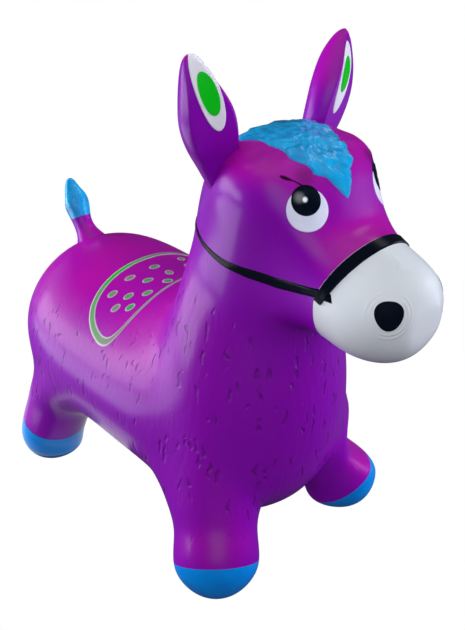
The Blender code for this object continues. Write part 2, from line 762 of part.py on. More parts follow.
pupil_lift = GAP + PAINT_THICKNESS + LAYER_GAP
for hand, side_name in ((-1, "right"), (1, "left")):
    eye_spot = mirrored(EYE_SPOT, hand)
    eye_facing = mirrored(EYE_FACING, hand)
    pupil_spot = mirrored(PUPIL_SPOT, hand)
    nostril_spot = mirrored(NOSTRIL_SPOT, hand)
    nostril_facing = mirrored(NOSTRIL_FACING, hand)
    lash_inner_radius = EYE_RADIUS + LASH_GAP
    lash_outer_radius = lash_inner_radius + LASH_WIDTH
    lash_outline = round_outline(
        lash_outer_radius, LASH_SIDES, 0, math.tau * LASH_START_SHARE, math.tau * LASH_END_SHARE
    )
    lash_inside = round_outline(
        lash_inner_radius, LASH_SIDES, 0, math.tau * LASH_START_SHARE, math.tau * LASH_END_SHARE
    )
    lash_ring = lash_outline + list(reversed(lash_inside))
    if hand > 0:
        lash_ring = [(-x, y) for x, y in lash_ring]
    features = (
        ("eye_white_", eye_spot, eye_facing, round_outline(EYE_RADIUS, FEATURE_SIDES), GAP, "white rubber"),
        ("eye_pupil_", pupil_spot, eye_facing, round_outline(PUPIL_RADIUS, FEATURE_SIDES), pupil_lift, "black paint"),
        ("eyelash_", eye_spot, eye_facing, lash_ring, GAP, "black paint"),
        (
            "nostril_", nostril_spot, nostril_facing,
            round_outline(NOSTRIL_RADIUS, FEATURE_SIDES, NOSTRIL_LOBE_SHARE), GAP, "black paint",
        ),
    )
    for name, spot, facing, outline, lift, paint in features:
        tool = prism_tool(
            name + side_name + "_prism", [outline], -FEATURE_DEPTH, FEATURE_DEPTH, spot, facing
        )
        surface_patch(
            name + side_name, skin_surface, tool, lift, PAINT_THICKNESS, paint, neck_joint,
            spot, MUZZLE_BOX_UP / 2,
        )

# Ears
def ear_mesh(hand):
    """A D-shaped ear: full behind, nearly flat in front, drawn in at its tip."""
    base = mirrored(EAR_JOINT, hand)
    tip = mirrored(EAR_TIP, hand)
    axis = (tip - base).normalized()
    facing = Vector((math.cos(EAR_FACING_TURN), -hand * math.sin(EAR_FACING_TURN), 0))
    facing = (facing - axis * facing.dot(axis)).normalized()
    across = axis.cross(facing)
    length = (tip - base).length
    section = [*EAR_SECTION_SHARES, *((-wide, deep) for wide, deep in EAR_SECTION_SHARES[-2:0:-1])]
    swell = ring_swell(len(section))
    ear = bmesh.new()
    rings = []
    for along, half_width, front, back in EAR_RING_SHARES:
        ring = []
        for wide, deep in section:
            depth = facing * deep * sized(front if deep > 0 else back)
            width = across * wide * sized(half_width)
            ring.append(ear.verts.new(base + axis * length * along + (depth + width) * swell))
        rings.append(ring)
    bottom = ear.verts.new(base + axis * length * EAR_POLE_START_SHARE)
    top = ear.verts.new(tip)
    for ring, following in zip(rings, rings[1:]):
        for side in range(len(section)):
            other = (side + 1) % len(section)
            ear.faces.new((ring[side], ring[other], following[other], following[side]))
    for side in range(len(section)):
        other = (side + 1) % len(section)
        ear.faces.new((bottom, rings[0][other], rings[0][side]))
        ear.faces.new((top, rings[-1][side], rings[-1][other]))
    bmesh.ops.recalc_face_normals(ear, faces=ear.faces)
    return finish_mesh("ear", ear), axis, facing, length


for hand, side_name in ((-1, "right"), (1, "left")):
    ear_joint = make_joint("ear_joint_" + side_name, mirrored(EAR_JOINT, hand), neck_joint)
    mesh, ear_axis, ear_facing, ear_length = ear_mesh(hand)
    ear_skin = make_part("ear_skin_" + side_name, mesh, "purple rubber", ear_joint)
    smooth_cage(ear_skin)
    combine(ear_skin, "UNION", ball_tool("ear_ball_" + side_name, ear_joint.location, EAR_BALL_RADIUS, SOCKET_STEPS))
    ear_guide = make_cutter("ear_guide_" + side_name, mesh.copy())
    smooth_cage(ear_guide)
    bpy.context.view_layer.update()
    ear_surface = surface_mesh(ear_guide)
    patch_spot = mirrored(EAR_JOINT, hand) + ear_axis * ear_length * EAR_PATCH_CENTRE_SHARE
    green_lift = GAP + PAINT_THICKNESS + LAYER_GAP
    ear_paints = (
        ("ear_white_", EAR_WHITE_LENGTH, EAR_WHITE_WIDTH, GAP, "white rubber"),
        ("ear_green_", EAR_GREEN_LENGTH, EAR_GREEN_WIDTH, green_lift, "green paint"),
    )
    for name, long_side, short_side, lift, paint in ear_paints:
        oval = [(x * short_side / 2, y * long_side / 2) for x, y in round_outline(1, FEATURE_SIDES)]
        tool = prism_tool(name + side_name + "_prism", [oval], 0, FEATURE_DEPTH, patch_spot, ear_facing)
        surface_patch(
            name + side_name, ear_surface, tool, lift, PAINT_THICKNESS, paint, ear_joint,
            patch_spot, MUZZLE_BOX_DEEP,
        )

# Tail
tail_place = Vector(TAIL_JOINT)
tail_axis = Vector((math.sin(TAIL_LEAN), 0, math.cos(TAIL_LEAN)))
tail_joint = make_joint("tail_joint", tail_place)


def tail_part(name, paint):
    """The whole tail as a turned solid, before the paint line parts it."""
    profile = [(radius * TAIL_LENGTH, along * TAIL_LENGTH) for along, radius in TAIL_PROFILE_SHARES]
    ball = arc(TAIL_BALL_RADIUS, TAIL_BALL_TURN, 0, TAIL_BALL_ROWS)
    ball[-1] = (0.0, -TAIL_BALL_RADIUS)
    guide = turned(name + "_turning", profile + ball, TAIL_STEPS, tail_place, tail_axis)
    bpy.context.view_layer.update()
    mesh = surface_mesh(guide)
    mesh.transform(guide.matrix_world)
    return make_part(name, mesh, paint, tail_joint)


tail_line = tail_place + tail_axis * TAIL_LENGTH * TAIL_PAINT_LINE_SHARE
tail_box_size = (TAIL_LENGTH, TAIL_LENGTH, TAIL_LENGTH)
tail_cut = box_tool(
    "tail_cut", tail_line + tail_axis * TAIL_LENGTH / 2, tail_box_size, (0, 1, 0), tail_axis
)
tail_keep = box_tool(
    "tail_keep", tail_line + tail_axis * (TAIL_LENGTH / 2 + GAP), tail_box_size, (0, 1, 0), tail_axis
)
combine(tail_part("tail_root", "purple rubber"), "DIFFERENCE", tail_cut)
combine(tail_part("tail_tip", "blue rubber"), "INTERSECT", tail_keep)
tail_socket = ball_tool("tail_socket", tail_place, TAIL_BALL_RADIUS + SEAM_GAP, SOCKET_STEPS)

# Legs
leg_openings = []
for end_name, foot_x, foot_y, lean_x, lean_y, ball_radius in (
    ("front", FRONT_FOOT_X, FRONT_FOOT_Y, FRONT_LEAN_X_SHARE, FRONT_LEAN_Y_SHARE, FRONT_BALL_RADIUS),
    ("rear", REAR_FOOT_X, REAR_FOOT_Y, REAR_LEAN_X_SHARE, REAR_LEAN_Y_SHARE, REAR_BALL_RADIUS),
):
    for hand, side_name in ((-1, "right"), (1, "left")):
        label = end_name + "_" + side_name
        place = leg_point(foot_x, foot_y * hand, lean_x, lean_y * hand, LEG_JOINT_HEIGHT)
        ball_centre = leg_point(foot_x, foot_y * hand, lean_x, lean_y * hand, FOOT_BALL_HEIGHT)
        outward = Vector((lean_x, lean_y * hand, -1)).normalized()
        sideways = outward.orthogonal()
        joint = make_joint("leg_joint_" + label, place)
        spread = ball_radius + LEG_CUTTER_SPREAD
        keep = limb_cutter(
            "leg_keep_" + label, place, outward, ball_radius, LEG_CUTTER_PLATE, spread, LEG_BALL_STEPS
        )
        opening = limb_cutter(
            "leg_opening_" + label, place, outward, ball_radius + SEAM_GAP, LEG_CUTTER_PLATE - SEAM_GAP,
            spread + SEAM_GAP, LEG_BALL_STEPS,
        )
        leg_openings.append(opening)
        collar = collar_tool(
            "leg_collar_" + label, place, outward, ball_radius, LEG_COLLAR_TURN, LEG_BALL_STEPS
        )
        box_size = (HOOF_BOX, HOOF_BOX, HOOF_BOX)
        hoof_cut = box_tool(
            "hoof_cut_" + label, ball_centre + outward * HOOF_BOX / 2, box_size, sideways, outward
        )
        hoof_keep = box_tool(
            "hoof_keep_" + label, ball_centre + outward * (HOOF_BOX / 2 + GAP), box_size, sideways, outward
        )
        leg = skin_part("leg_" + label, "purple rubber", joint)
        combine(leg, "INTERSECT", keep)
        combine(leg, "UNION", collar)
        combine(leg, "DIFFERENCE", hoof_cut)
        hoof = skin_part("hoof_" + label, "blue rubber", joint)
        combine(hoof, "INTERSECT", hoof_keep)

# Torso, saddle edging and valve
smooth_skin = outer_skin.evaluated_get(bpy.context.evaluated_depsgraph_get())
belly_point = smooth_skin.ray_cast((VALVE_X, 0, -TOY_HEIGHT), up)[1]
valve_place = Vector((VALVE_X, 0, belly_point.z))
hole_radius = VALVE_SLEEVE_RADIUS + GAP
valve_hole = turned(
    "valve_hole",
    [(0.0, VALVE_SLEEVE_LENGTH), (hole_radius, VALVE_SLEEVE_LENGTH), (hole_radius, -WALL), (0.0, -WALL)],
    VALVE_STEPS, valve_place, up,
)
torso_skin = skin_part("torso_skin", "purple rubber")
openings = (head_tool("head_opening", SEAM_GAP), *leg_openings, tail_socket, valve_hole)
combine(torso_skin, "DIFFERENCE", *openings)

saddle_outline = mirrored_outline(SADDLE_OUTLINE_SHARES, SADDLE_FRONT_X, SADDLE_LENGTH, SADDLE_HALF_WIDTH)
saddle_inside = mirrored_outline(
    SADDLE_OUTLINE_SHARES,
    SADDLE_FRONT_X - SADDLE_LENGTH * SADDLE_INSET_START_SHARE,
    SADDLE_LENGTH * SADDLE_INSET_LENGTH_SHARE,
    SADDLE_HALF_WIDTH * SADDLE_INSET_WIDTH_SHARE,
)
saddle_prism = prism_tool("saddle_prism", [saddle_outline, saddle_inside], SADDLE_LOW_Z, NECK_JOINT_Z)
surface_patch(
    "saddle_edging", skin_surface, saddle_prism, GAP, PAINT_THICKNESS, "green paint", None,
    Vector((SADDLE_FRONT_X - SADDLE_LENGTH / 2, 0, SADDLE_LOW_Z)), TOY_HEIGHT / 3,
)


def turned_part(name, profile, paint, joint=None):
    """A turned piece of the valve."""
    guide = turned(name + "_turning", profile, VALVE_STEPS, valve_place, up)
    bpy.context.view_layer.update()
    mesh = surface_mesh(guide)
    mesh.transform(guide.matrix_world)
    return make_part(name, mesh, paint, joint)


flange_top = -VALVE_FLANGE_DROP
flange_bottom = flange_top - VALVE_FLANGE_THICKNESS
turned_part(
    "valve_seat",
    [
        (VALVE_SLEEVE_RADIUS, VALVE_SLEEVE_LENGTH),
        (VALVE_SLEEVE_RADIUS, flange_top),
        (VALVE_FLANGE_RADIUS, flange_top),
        (VALVE_FLANGE_RADIUS, flange_bottom),
        (VALVE_BORE_RADIUS, flange_bottom),
        (VALVE_BORE_RADIUS, VALVE_SLEEVE_LENGTH),
    ],
    "valve plastic",
)
plug_joint = make_joint("plug_joint", valve_place)
shaft_radius = VALVE_BORE_RADIUS - GAP
head_top = flange_bottom - GAP
turned_part(
    "valve_plug",
    [
        (0.0, PLUG_SHAFT_LENGTH),
        (shaft_radius * PLUG_TAPER_SHARE, PLUG_SHAFT_LENGTH),
        (shaft_radius, PLUG_SHAFT_LENGTH * PLUG_TAPER_SHARE),
        (shaft_radius, head_top),
        (PLUG_HEAD_RADIUS, head_top),
        (PLUG_HEAD_RADIUS, head_top - PLUG_HEAD_THICKNESS * PLUG_TAPER_SHARE),
        (PLUG_HEAD_RADIUS * PLUG_TAPER_SHARE, head_top - PLUG_HEAD_THICKNESS),
        (0.0, head_top - PLUG_HEAD_THICKNESS),
    ],
    "valve plastic", plug_joint,
)
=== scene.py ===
import json
import math

import bmesh
import bpy
import numpy as np
from mathutils import Matrix, Vector, noise
from mathutils.bvhtree import BVHTree

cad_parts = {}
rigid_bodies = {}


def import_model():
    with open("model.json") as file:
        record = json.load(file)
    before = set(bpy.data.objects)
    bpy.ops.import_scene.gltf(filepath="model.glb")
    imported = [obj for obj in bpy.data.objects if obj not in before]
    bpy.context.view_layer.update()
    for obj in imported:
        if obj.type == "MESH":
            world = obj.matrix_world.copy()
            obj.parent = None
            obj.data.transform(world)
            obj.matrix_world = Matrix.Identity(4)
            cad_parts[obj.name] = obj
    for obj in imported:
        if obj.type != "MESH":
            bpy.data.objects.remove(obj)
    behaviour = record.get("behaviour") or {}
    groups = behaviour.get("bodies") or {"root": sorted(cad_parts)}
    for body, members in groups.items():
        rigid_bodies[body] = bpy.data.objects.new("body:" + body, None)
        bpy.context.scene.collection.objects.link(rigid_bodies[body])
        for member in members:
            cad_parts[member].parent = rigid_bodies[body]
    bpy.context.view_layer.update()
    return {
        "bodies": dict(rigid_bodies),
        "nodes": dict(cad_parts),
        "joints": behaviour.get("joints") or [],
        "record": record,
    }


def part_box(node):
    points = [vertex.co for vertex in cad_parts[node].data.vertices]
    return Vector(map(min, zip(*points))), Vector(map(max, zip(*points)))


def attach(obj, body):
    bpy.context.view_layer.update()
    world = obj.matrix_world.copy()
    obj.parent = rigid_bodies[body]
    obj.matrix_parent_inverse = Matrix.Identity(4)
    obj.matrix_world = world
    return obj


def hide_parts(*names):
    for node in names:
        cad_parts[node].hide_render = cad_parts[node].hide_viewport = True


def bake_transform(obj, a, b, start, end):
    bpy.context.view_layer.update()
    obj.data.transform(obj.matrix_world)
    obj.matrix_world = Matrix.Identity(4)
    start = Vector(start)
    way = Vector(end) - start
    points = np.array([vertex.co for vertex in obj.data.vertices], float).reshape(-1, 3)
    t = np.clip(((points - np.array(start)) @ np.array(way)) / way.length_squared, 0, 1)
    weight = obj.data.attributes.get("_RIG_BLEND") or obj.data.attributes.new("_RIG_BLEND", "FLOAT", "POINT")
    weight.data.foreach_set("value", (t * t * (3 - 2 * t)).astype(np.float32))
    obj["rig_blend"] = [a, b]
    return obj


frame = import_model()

# Sizes in metres. The cage, the joints' lines, the ears and the tail repeat the part's source
MM = 0.001
TOY_HEIGHT = 500 * MM
UP = Vector((0, 0, 1))
SIDES = {-1: "right", 1: "left"}
WALL = 2.0 * MM
RING_SIDES = 14
SKIN_LEVELS = 4
# From rump to crown, as shares of the height: x and z of the ring's top, x and z of its bottom, half width
BODY_RINGS = (
    (-0.490, 0.390, -0.490, 0.222, 0.102),
    (-0.458, 0.470, -0.456, 0.144, 0.178),
    (-0.384, 0.504, -0.382, 0.102, 0.217),
    (-0.298, 0.506, -0.299, 0.093, 0.230),
    (-0.200, 0.497, -0.206, 0.089, 0.232),
    (-0.080, 0.498, -0.074, 0.078, 0.232),
    (0.000, 0.520, 0.080, 0.066, 0.228),
    (0.014, 0.552, 0.212, 0.072, 0.213),
    (0.020, 0.600, 0.296, 0.176, 0.198),
    (0.026, 0.643, 0.314, 0.349, 0.168),
    (0.033, 0.689, 0.297, 0.468, 0.139),
    (0.040, 0.740, 0.292, 0.550, 0.132),
    (0.060, 0.792, 0.318, 0.640, 0.138),
    (0.099, 0.840, 0.352, 0.744, 0.154),
    (0.158, 0.870, 0.330, 0.821, 0.134),
)
RUMP_POLE = Vector((-0.500, 0, 0.300)) * TOY_HEIGHT
CROWN_POLE = Vector((0.240, 0, 0.869)) * TOY_HEIGHT
RING_SWELL = 1.035
# Middle x and z, half width and half height as shares of the height, and the lean in degrees
MUZZLE_RINGS = (
    (0.360, 0.648, 0.102, 0.096, -16),
    (0.417, 0.626, 0.107, 0.094, -12),
    (0.473, 0.621, 0.086, 0.081, -6),
    (0.500, 0.624, 0.047, 0.048, 0),
)
MUZZLE_ROWS = (11, 12)
MUZZLE_SIDES = (5, 6, 7, 8)
FOOT_BALL_HEIGHT = 28 * MM
LEG_JOINT_HEIGHT = 44 * MM
LEG_SIDES = (4, 5)
# Of each leg: the cage's row it is drawn from, its foot, its lean for each metre of height, and its rings:
# height and radius as shares of the toy's height, and the share of the lean
LEGS = {
    "front": {
        "row": 6, "foot": (113 * MM, 95.5 * MM), "lean": (0.52, 0.44),
        "rings": (
            (0.139, 0.089, 1.0), (0.109, 0.080, 1.0), (0.074, 0.085, 0.9),
            (0.033, 0.085, 0.5), (0.000, 0.054, 0.0), (0.000, 0.028, 0.0),
        ),
    },
    "rear": {
        "row": 2, "foot": (-181.5 * MM, 100.5 * MM), "lean": (-0.16, 0.35),
        "rings": (
            (0.160, 0.078, 1.0), (0.120, 0.074, 1.0), (0.070, 0.074, 0.9),
            (0.030, 0.075, 0.5), (0.000, 0.049, 0.0), (0.000, 0.022, 0.0),
        ),
    },
}
NECK_LINE = Vector((10 * MM, 0, 270 * MM))
NECK_NORMAL = Vector((0.548, 0, 0.837)).normalized()
NECK_BEND = 55 * MM
MUZZLE_LINE = Vector((196.5 * MM, 0, 365 * MM))
MUZZLE_LEAN = math.radians(22.3)
MUZZLE_DEPTH = 112 * MM
MUZZLE_REAR = 120 * MM
STRAP_END_DROP = 40 * MM
JAW_LEAN = math.radians(3)
NOSEBAND_WIDTH = 11 * MM
EAR_ROOT = Vector((79 * MM, -56.5 * MM, 406 * MM))
EAR_TIP = Vector((81 * MM, -88.5 * MM, 501 * MM))
EAR_TURN = math.radians(-17)
TAIL_ROOT = Vector((-212 * MM, 0, 240 * MM))
TAIL_LEAN = math.radians(-28)
TAIL_LENGTH = 75 * MM
# The soft skin's pushes: place, reach and way. A leg is pressed in, and a brow swells above each eye
SKIN_PUSHES = (
    (Vector((116 * MM, 112 * MM, 76 * MM)), 50 * MM, Vector((-9 * MM, -14 * MM, -6 * MM))),
    (Vector((134 * MM, 54 * MM, 419 * MM)), 26 * MM, Vector((1.0 * MM, 1.6 * MM, 1.1 * MM))),
    (Vector((134 * MM, -54 * MM, 419 * MM)), 26 * MM, Vector((1.0 * MM, -1.6 * MM, 1.1 * MM))),
)
# Of each side: place and facing
EYES = {
    -1: (Vector((0.1610, -0.0412, 0.3912)), (0.70, -0.57, 0.43)),
    1: (Vector((0.1560, 0.0500, 0.3865)), (0.64, 0.68, 0.36)),
}
NOSTRILS = {
    -1: (Vector((0.2405, -0.0350, 0.3285)), (0.76, -0.62, 0.15)),
    1: (Vector((0.2335, 0.0440, 0.3270)), (0.62, 0.76, 0.13)),
}
EYE_RADIUS = 16.9 * MM
PUPIL_RADIUS = 12 * MM
PUPIL_RISE = 7.2 * MM
PUPIL_SHIFTS = {-1: -1.2 * MM, 1: 3.0 * MM}
NOSTRIL_RADIUS = 11.1 * MM
# Of each pupil: the printed light and the haze beside it
EYE_LIGHTS = (
    ((0.1592, -0.0424, 0.3995), (0.1560, -0.0455, 0.4010)),
    ((0.1545, 0.0526, 0.3945), (0.1501, 0.0567, 0.3971)),
)
SPRAY_SMEARS = ((0.1525, -0.0350, 0.4160), (0.1450, 0.0490, 0.4090))
REAR_PAINT_HEIGHT = -5.6 * MM
# A ray that finds the skin starts this far outside, and a paint layer's rim lies this deep in the skin
RAY_START = 60 * MM
RIM_DEPTH = 0.25 * MM


# Materials
class Wire:
    """An output of a node. A sum written with it adds the Math nodes."""

    def __init__(self, paint, socket):
        self.paint = paint
        self.socket = socket

    def __add__(self, other):
        return self.paint.maths("ADD", self, other)

    def __sub__(self, other):
        return self.paint.maths("SUBTRACT", self, other)

    def __rsub__(self, other):
        return self.paint.maths("SUBTRACT", other, self)

    def __mul__(self, other):
        return self.paint.maths("MULTIPLY", self, other)

    def __abs__(self):
        return self.paint.maths("ABSOLUTE", self)

    __radd__ = __add__
    __rmul__ = __mul__


class Paint:
    """A finish: one Principled shader and what varies over its surface."""

    def __init__(self, name, colour, roughness, coat=0.0, coat_roughness=0.1, gloss=0.5):
        self.material = bpy.data.materials.new(name)
        self.material.use_nodes = True
        self.material.diffuse_color = (*colour, 1)
        self.tree = self.material.node_tree
        self.shader = self.tree.nodes["Principled BSDF"]
        self.shader.inputs["Base Color"].default_value = (*colour, 1)
        self.shader.inputs["Roughness"].default_value = roughness
        self.shader.inputs["Coat Weight"].default_value = coat
        self.shader.inputs["Coat Roughness"].default_value = coat_roughness
        self.shader.inputs["Specular IOR Level"].default_value = gloss
        self.place = self.node("TexCoord", output="Object")

    def node(self, kind, settings=(), inputs=(), output=0):
        """Any node: its settings first, then the values or links of its sockets."""
        made = self.tree.nodes.new("ShaderNode" + kind)
        for name, value in dict(settings).items():
            setattr(made, name, value)
        for name, value in dict(inputs).items():
            if isinstance(value, Wire):
                self.tree.links.new(value.socket, made.inputs[name])
            else:
                made.inputs[name].default_value = value
        return Wire(self, made.outputs[output])

    def maths(self, operation, *values):
        return self.node("Math", {"operation": operation}, dict(enumerate(values)))

    def step(self, value, low, high):
        """A smooth rise from 0 at low to 1 at high."""
        limits = {"Value": value, "From Min": low, "From Max": high}
        return self.node("MapRange", {"interpolation_type": "SMOOTHSTEP"}, limits)

    def fade(self, value, low, high):
        """A smooth fall from 1 at low to 0 at high."""
        return 1 - self.step(value, low, high)

    def stretched(self, scale, vector=None):
        return self.node("Mapping", {}, {"Vector": vector or self.place, "Scale": scale})

    def cloud(self, scale, detail=2.0, roughness=0.5, vector=None):
        inputs = {"Vector": vector or self.place, "Scale": scale, "Detail": detail, "Roughness": roughness}
        return self.node("TexNoise", {}, inputs, "Fac")

    def patches(self, scale, detail, low, high):
        """Soft-edged patches: a cloud's smooth rise from 0 at low to 1 at high."""
        return self.step(self.cloud(scale, detail), low, high)

    def mix(self, factor, low, high):
        """Two colours mixed."""
        low = low if isinstance(low, Wire) else (*low, 1)
        high = high if isinstance(high, Wire) else (*high, 1)
        return self.node("Mix", {"data_type": "RGBA"}, {0: factor, 6: low, 7: high}, 2)

    def axes(self, vector=None):
        """The three parts of a vector."""
        split = self.node("SeparateXYZ", {}, {"Vector": vector or self.place})
        return [Wire(self, output) for output in split.socket.node.outputs]

    def distance(self, point):
        return self.node("VectorMath", {"operation": "DISTANCE"}, {0: self.place, 1: point}, "Value")

    def colour(self, wire):
        self.tree.links.new(wire.socket, self.shader.inputs["Base Color"])

    def roughness(self, least, spread, scale, detail=3.0):
        """A roughness that varies upwards from its least value."""
        wire = least + self.cloud(scale, detail) * spread
        self.tree.links.new(wire.socket, self.shader.inputs["Roughness"])

    def bands(self, direction, inputs):
        """Wavy bands, one after the other along a direction."""
        kind = {"wave_type": "BANDS", "bands_direction": direction, "wave_profile": "SIN"}
        return self.node("TexWave", kind, {"Vector": self.place, **inputs}, "Fac")

    def relief(self, height, depth):
        """A bump of that depth in metres, where height is 1."""
        bump = self.node("Bump", {}, {"Strength": 1.0, "Distance": depth, "Height": height}, "Normal")
        self.tree.links.new(bump.socket, self.shader.inputs["Normal"])


PURPLE = (0.200, 0.0, 0.310)
BLUE = (0.0, 0.185, 0.58)
PALE = (0.50, 0.535, 0.580)
NAVY = (0.0012, 0.0030, 0.0080)
GREEN = (0.0, 0.40, 0.01)


def skin_vinyl():
    """Purple vinyl, with moulded strokes of fur on the flanks, the chest and the neck."""
    paint = Paint("purple_vinyl", PURPLE, 0.36, 0.55, 0.20, 0.15)
    x, z = paint.axes()[::2]
    normal_z = paint.axes(paint.node("NewGeometry", output="Normal"))[2]
    sides = paint.fade(normal_z, 0.50, 0.80) * paint.step(normal_z, -0.75, -0.35)
    flank = paint.step(x, -0.225, -0.185) * paint.step(z, 0.060, 0.095)
    face = paint.step(x + z * 0.55, 0.235, 0.275) * paint.step(z, 0.25, 0.30)
    crown = paint.step(z, 0.385, 0.405)
    furred = sides * flank * (1 - face) * (1 - crown)
    sway = paint.node("TexNoise", {}, {"Vector": paint.place, "Scale": 70.0, "Detail": 1.0}, "Color")
    bent = paint.node(
        "VectorMath", {"operation": "MULTIPLY_ADD"},
        {0: sway, 1: (0.0125, 0.0125, 0.0), 2: paint.place},
    )
    cells = {"Vector": paint.stretched((150, 150, 33), bent), "Scale": 1.0, "Randomness": 0.9}
    dashes = paint.node("TexVoronoi", {}, cells, "Distance")
    cell = Wire(paint, dashes.socket.node.outputs["Color"])
    picked = paint.step(paint.axes(cell)[0], 0.52, 0.58)
    strokes = paint.fade(dashes, 0.12, 0.40) * picked * furred
    ripple = paint.cloud(1.0, 2.0, 0.6, paint.stretched((190, 190, 20)))
    peel = paint.cloud(150.0, 2.0)
    paint.relief(ripple * furred * 0.42 + peel * 0.03 - strokes * 1.2, 1.3 * MM)
    tone = paint.patches(9.0, 2.0, 0.35, 0.68)
    # Painted light and shade: faces that look up get a lighter, redder purple, and faces that look sideways
    # or down get a darker, bluer one.
    painted_top_light = paint.mix(paint.step(normal_z, 0.05, 0.90), (0.175, 0.0, 0.325), (0.300, 0.0, 0.255))
    body = paint.mix(tone * 0.35, painted_top_light, (0.130, 0.0, 0.250))
    # Painted shade: the grooves of the fur strokes are darkened.
    body = paint.mix(strokes * 0.35, body, (0.08, 0.0, 0.15))
    for above_eye in SPRAY_SMEARS:
        smear = paint.fade(paint.distance(above_eye), 3 * MM, 13 * MM)
        body = paint.mix(smear * 0.5, body, (0.060, 0.0, 0.030))
    rear = paint.fade(x, -0.10, -0.09)
    level = z + x * 0.30 - REAR_PAINT_HEIGHT
    body = paint.mix(paint.fade(level, -1.2 * MM, 0.4 * MM) * rear, body, BLUE)
    edge = paint.fade(abs(level), 0.0, 1.4 * MM) * rear
    paint.colour(paint.mix(edge * 0.7, body, (0.01, 0.01, 0.16)))
    paint.roughness(0.36, 0.12, 28.0)
    return paint.material


def plain_vinyl(name, colour, shade, gloss=0.4, coat=0.3):
    """Sprayed vinyl: glossy, a little uneven, darker where the spray thins out."""
    paint = Paint(name, colour, 0.28, coat, 0.1, gloss)
    tone = paint.patches(30.0, 3.0, 0.35, 0.7)
    paint.colour(paint.mix(tone * 0.6, colour, shade))
    paint.roughness(0.24, 0.12, 50.0)
    paint.relief(paint.cloud(170.0, 2.0) * 0.03, 1.6 * MM)
    return paint.material


def hair_vinyl():
    """Blue vinyl of the hair, in flat crumpled facets that catch the light."""
    paint = Paint("hair_vinyl", (0.0, 0.26, 0.54), 0.22, 0.9, 0.06, 0.6)
    cells = {"Vector": paint.place, "Scale": 68.0}
    facets = paint.node("TexVoronoi", {"feature": "SMOOTH_F1"}, cells, "Distance")
    tone = paint.patches(60.0, 3.0, 0.35, 0.7)
    paint.colour(paint.mix(tone, (0.0, 0.30, 0.62), (0.0, 0.22, 0.52)))
    paint.roughness(0.20, 0.16, 80.0)
    paint.relief(facets + paint.cloud(200.0, 2.0) * 0.10, 2.6 * MM)
    return paint.material


def muzzle_vinyl():
    """White vinyl, with moulded arcs about each nostril and fine folds under the mouth."""
    paint = Paint("white_vinyl", PALE, 0.30, 0.25, 0.12, 0.4)
    y, z = paint.axes()[1:]
    nostril = NOSTRILS[-1][0]
    arcs = None
    for hand in SIDES:
        reach = paint.distance((nostril.x, -hand * nostril.y, nostril.z))
        side = paint.step(abs((y * hand + nostril.y) * 1.6 + (z - nostril.z)), 4 * MM, 16 * MM)
        for radius in (15.2 * MM, 18.6 * MM):
            ring = paint.fade(abs(reach - radius), 0.0, 1.6 * MM) * side
            arcs = ring if arcs is None else arcs + ring
        lines = paint.bands("X", {"Scale": 78.0, "Distortion": 0.8, "Detail": 1.0})
        patch = paint.fade(paint.distance((0.222, hand * 0.060, 0.350)), 5 * MM, 10 * MM)
        arcs = arcs + lines * patch * 0.8
    folds = paint.bands("Z", {"Scale": 95.0, "Distortion": 1.0, "Detail": 1.0, "Detail Scale": 6.0})
    under = paint.fade(z, 0.279, 0.290) * paint.step(z, 0.262, 0.268)
    dimples = paint.patches(60.0, 1.0, 0.6, 0.72) * paint.step(z, 0.330, 0.345)
    grain = paint.cloud(130.0, 2.0) * 0.03
    paint.relief(arcs * 0.42 + folds * under * 0.45 + dimples * 0.5 + grain, 0.8 * MM)
    shade = paint.patches(16.0, 3.0, 0.35, 0.7)
    tint = paint.mix(shade * 0.5, PALE, (0.54, 0.59, 0.65))
    # A painted highlight: a cream-tinted light patch on the top of the muzzle.
    muzzle_painted_highlight = paint.fade(paint.distance((0.236, -0.022, 0.366)), 2 * MM, 9 * MM)
    tint = paint.mix(muzzle_painted_highlight * 0.6, tint, (0.86, 0.80, 0.66))
    # Painted shade: the folds under the mouth are darkened.
    paint.colour(paint.mix(folds * under * 0.25, tint, (0.42, 0.46, 0.50)))
    paint.roughness(0.25, 0.12, 40.0)
    return paint.material


def eye_black():
    """Navy paint with the printed spot of light of the eye."""
    paint = Paint("pupil_paint", NAVY, 0.25, 0.08, 0.08, 0.2)
    glow = None
    for light, mist in EYE_LIGHTS:
        spot = paint.fade(paint.distance(light), 1.2 * MM, 3.0 * MM)
        haze = paint.fade(paint.distance(mist), 1.0 * MM, 6.0 * MM) * 0.18
        both = paint.maths("MAXIMUM", spot, haze)
        glow = both if glow is None else glow + both
    shade = paint.mix(paint.patches(80.0, 2.0, 0.4, 0.7), NAVY, (0.003, 0.008, 0.014))
    paint.colour(paint.mix(glow, shade, (0.70, 0.75, 0.80)))
    return paint.material


def strap_black():
    """Black strap paint, with a brownish and a pale painted highlight where it turns over the nose."""
    paint = Paint("strap_paint", NAVY, 0.2, 0.04, 0.08, 0.14)
    # Painted highlights where the strap turns over the nose: a brownish one, and a pale one beside it, both
    # in patches.
    brown_painted_highlight = paint.fade(paint.distance((0.203, -0.030, 0.379)), 4 * MM, 11 * MM)
    brown_painted_highlight = brown_painted_highlight * paint.patches(90.0, 3.0, 0.40, 0.62)
    pale = paint.fade(paint.distance((0.195, -0.046, 0.374)), 3 * MM, 10 * MM)
    pale = pale * paint.patches(110.0, 3.0, 0.42, 0.58)
    black = paint.mix(brown_painted_highlight * 0.7, NAVY, (0.060, 0.024, 0.020))
    paint.colour(paint.mix(pale * 0.55, black, (0.42, 0.46, 0.54)))
    paint.roughness(0.16, 0.14, 60.0)
    paint.relief(paint.cloud(120.0, 3.0), 0.25 * MM)
    return paint.material


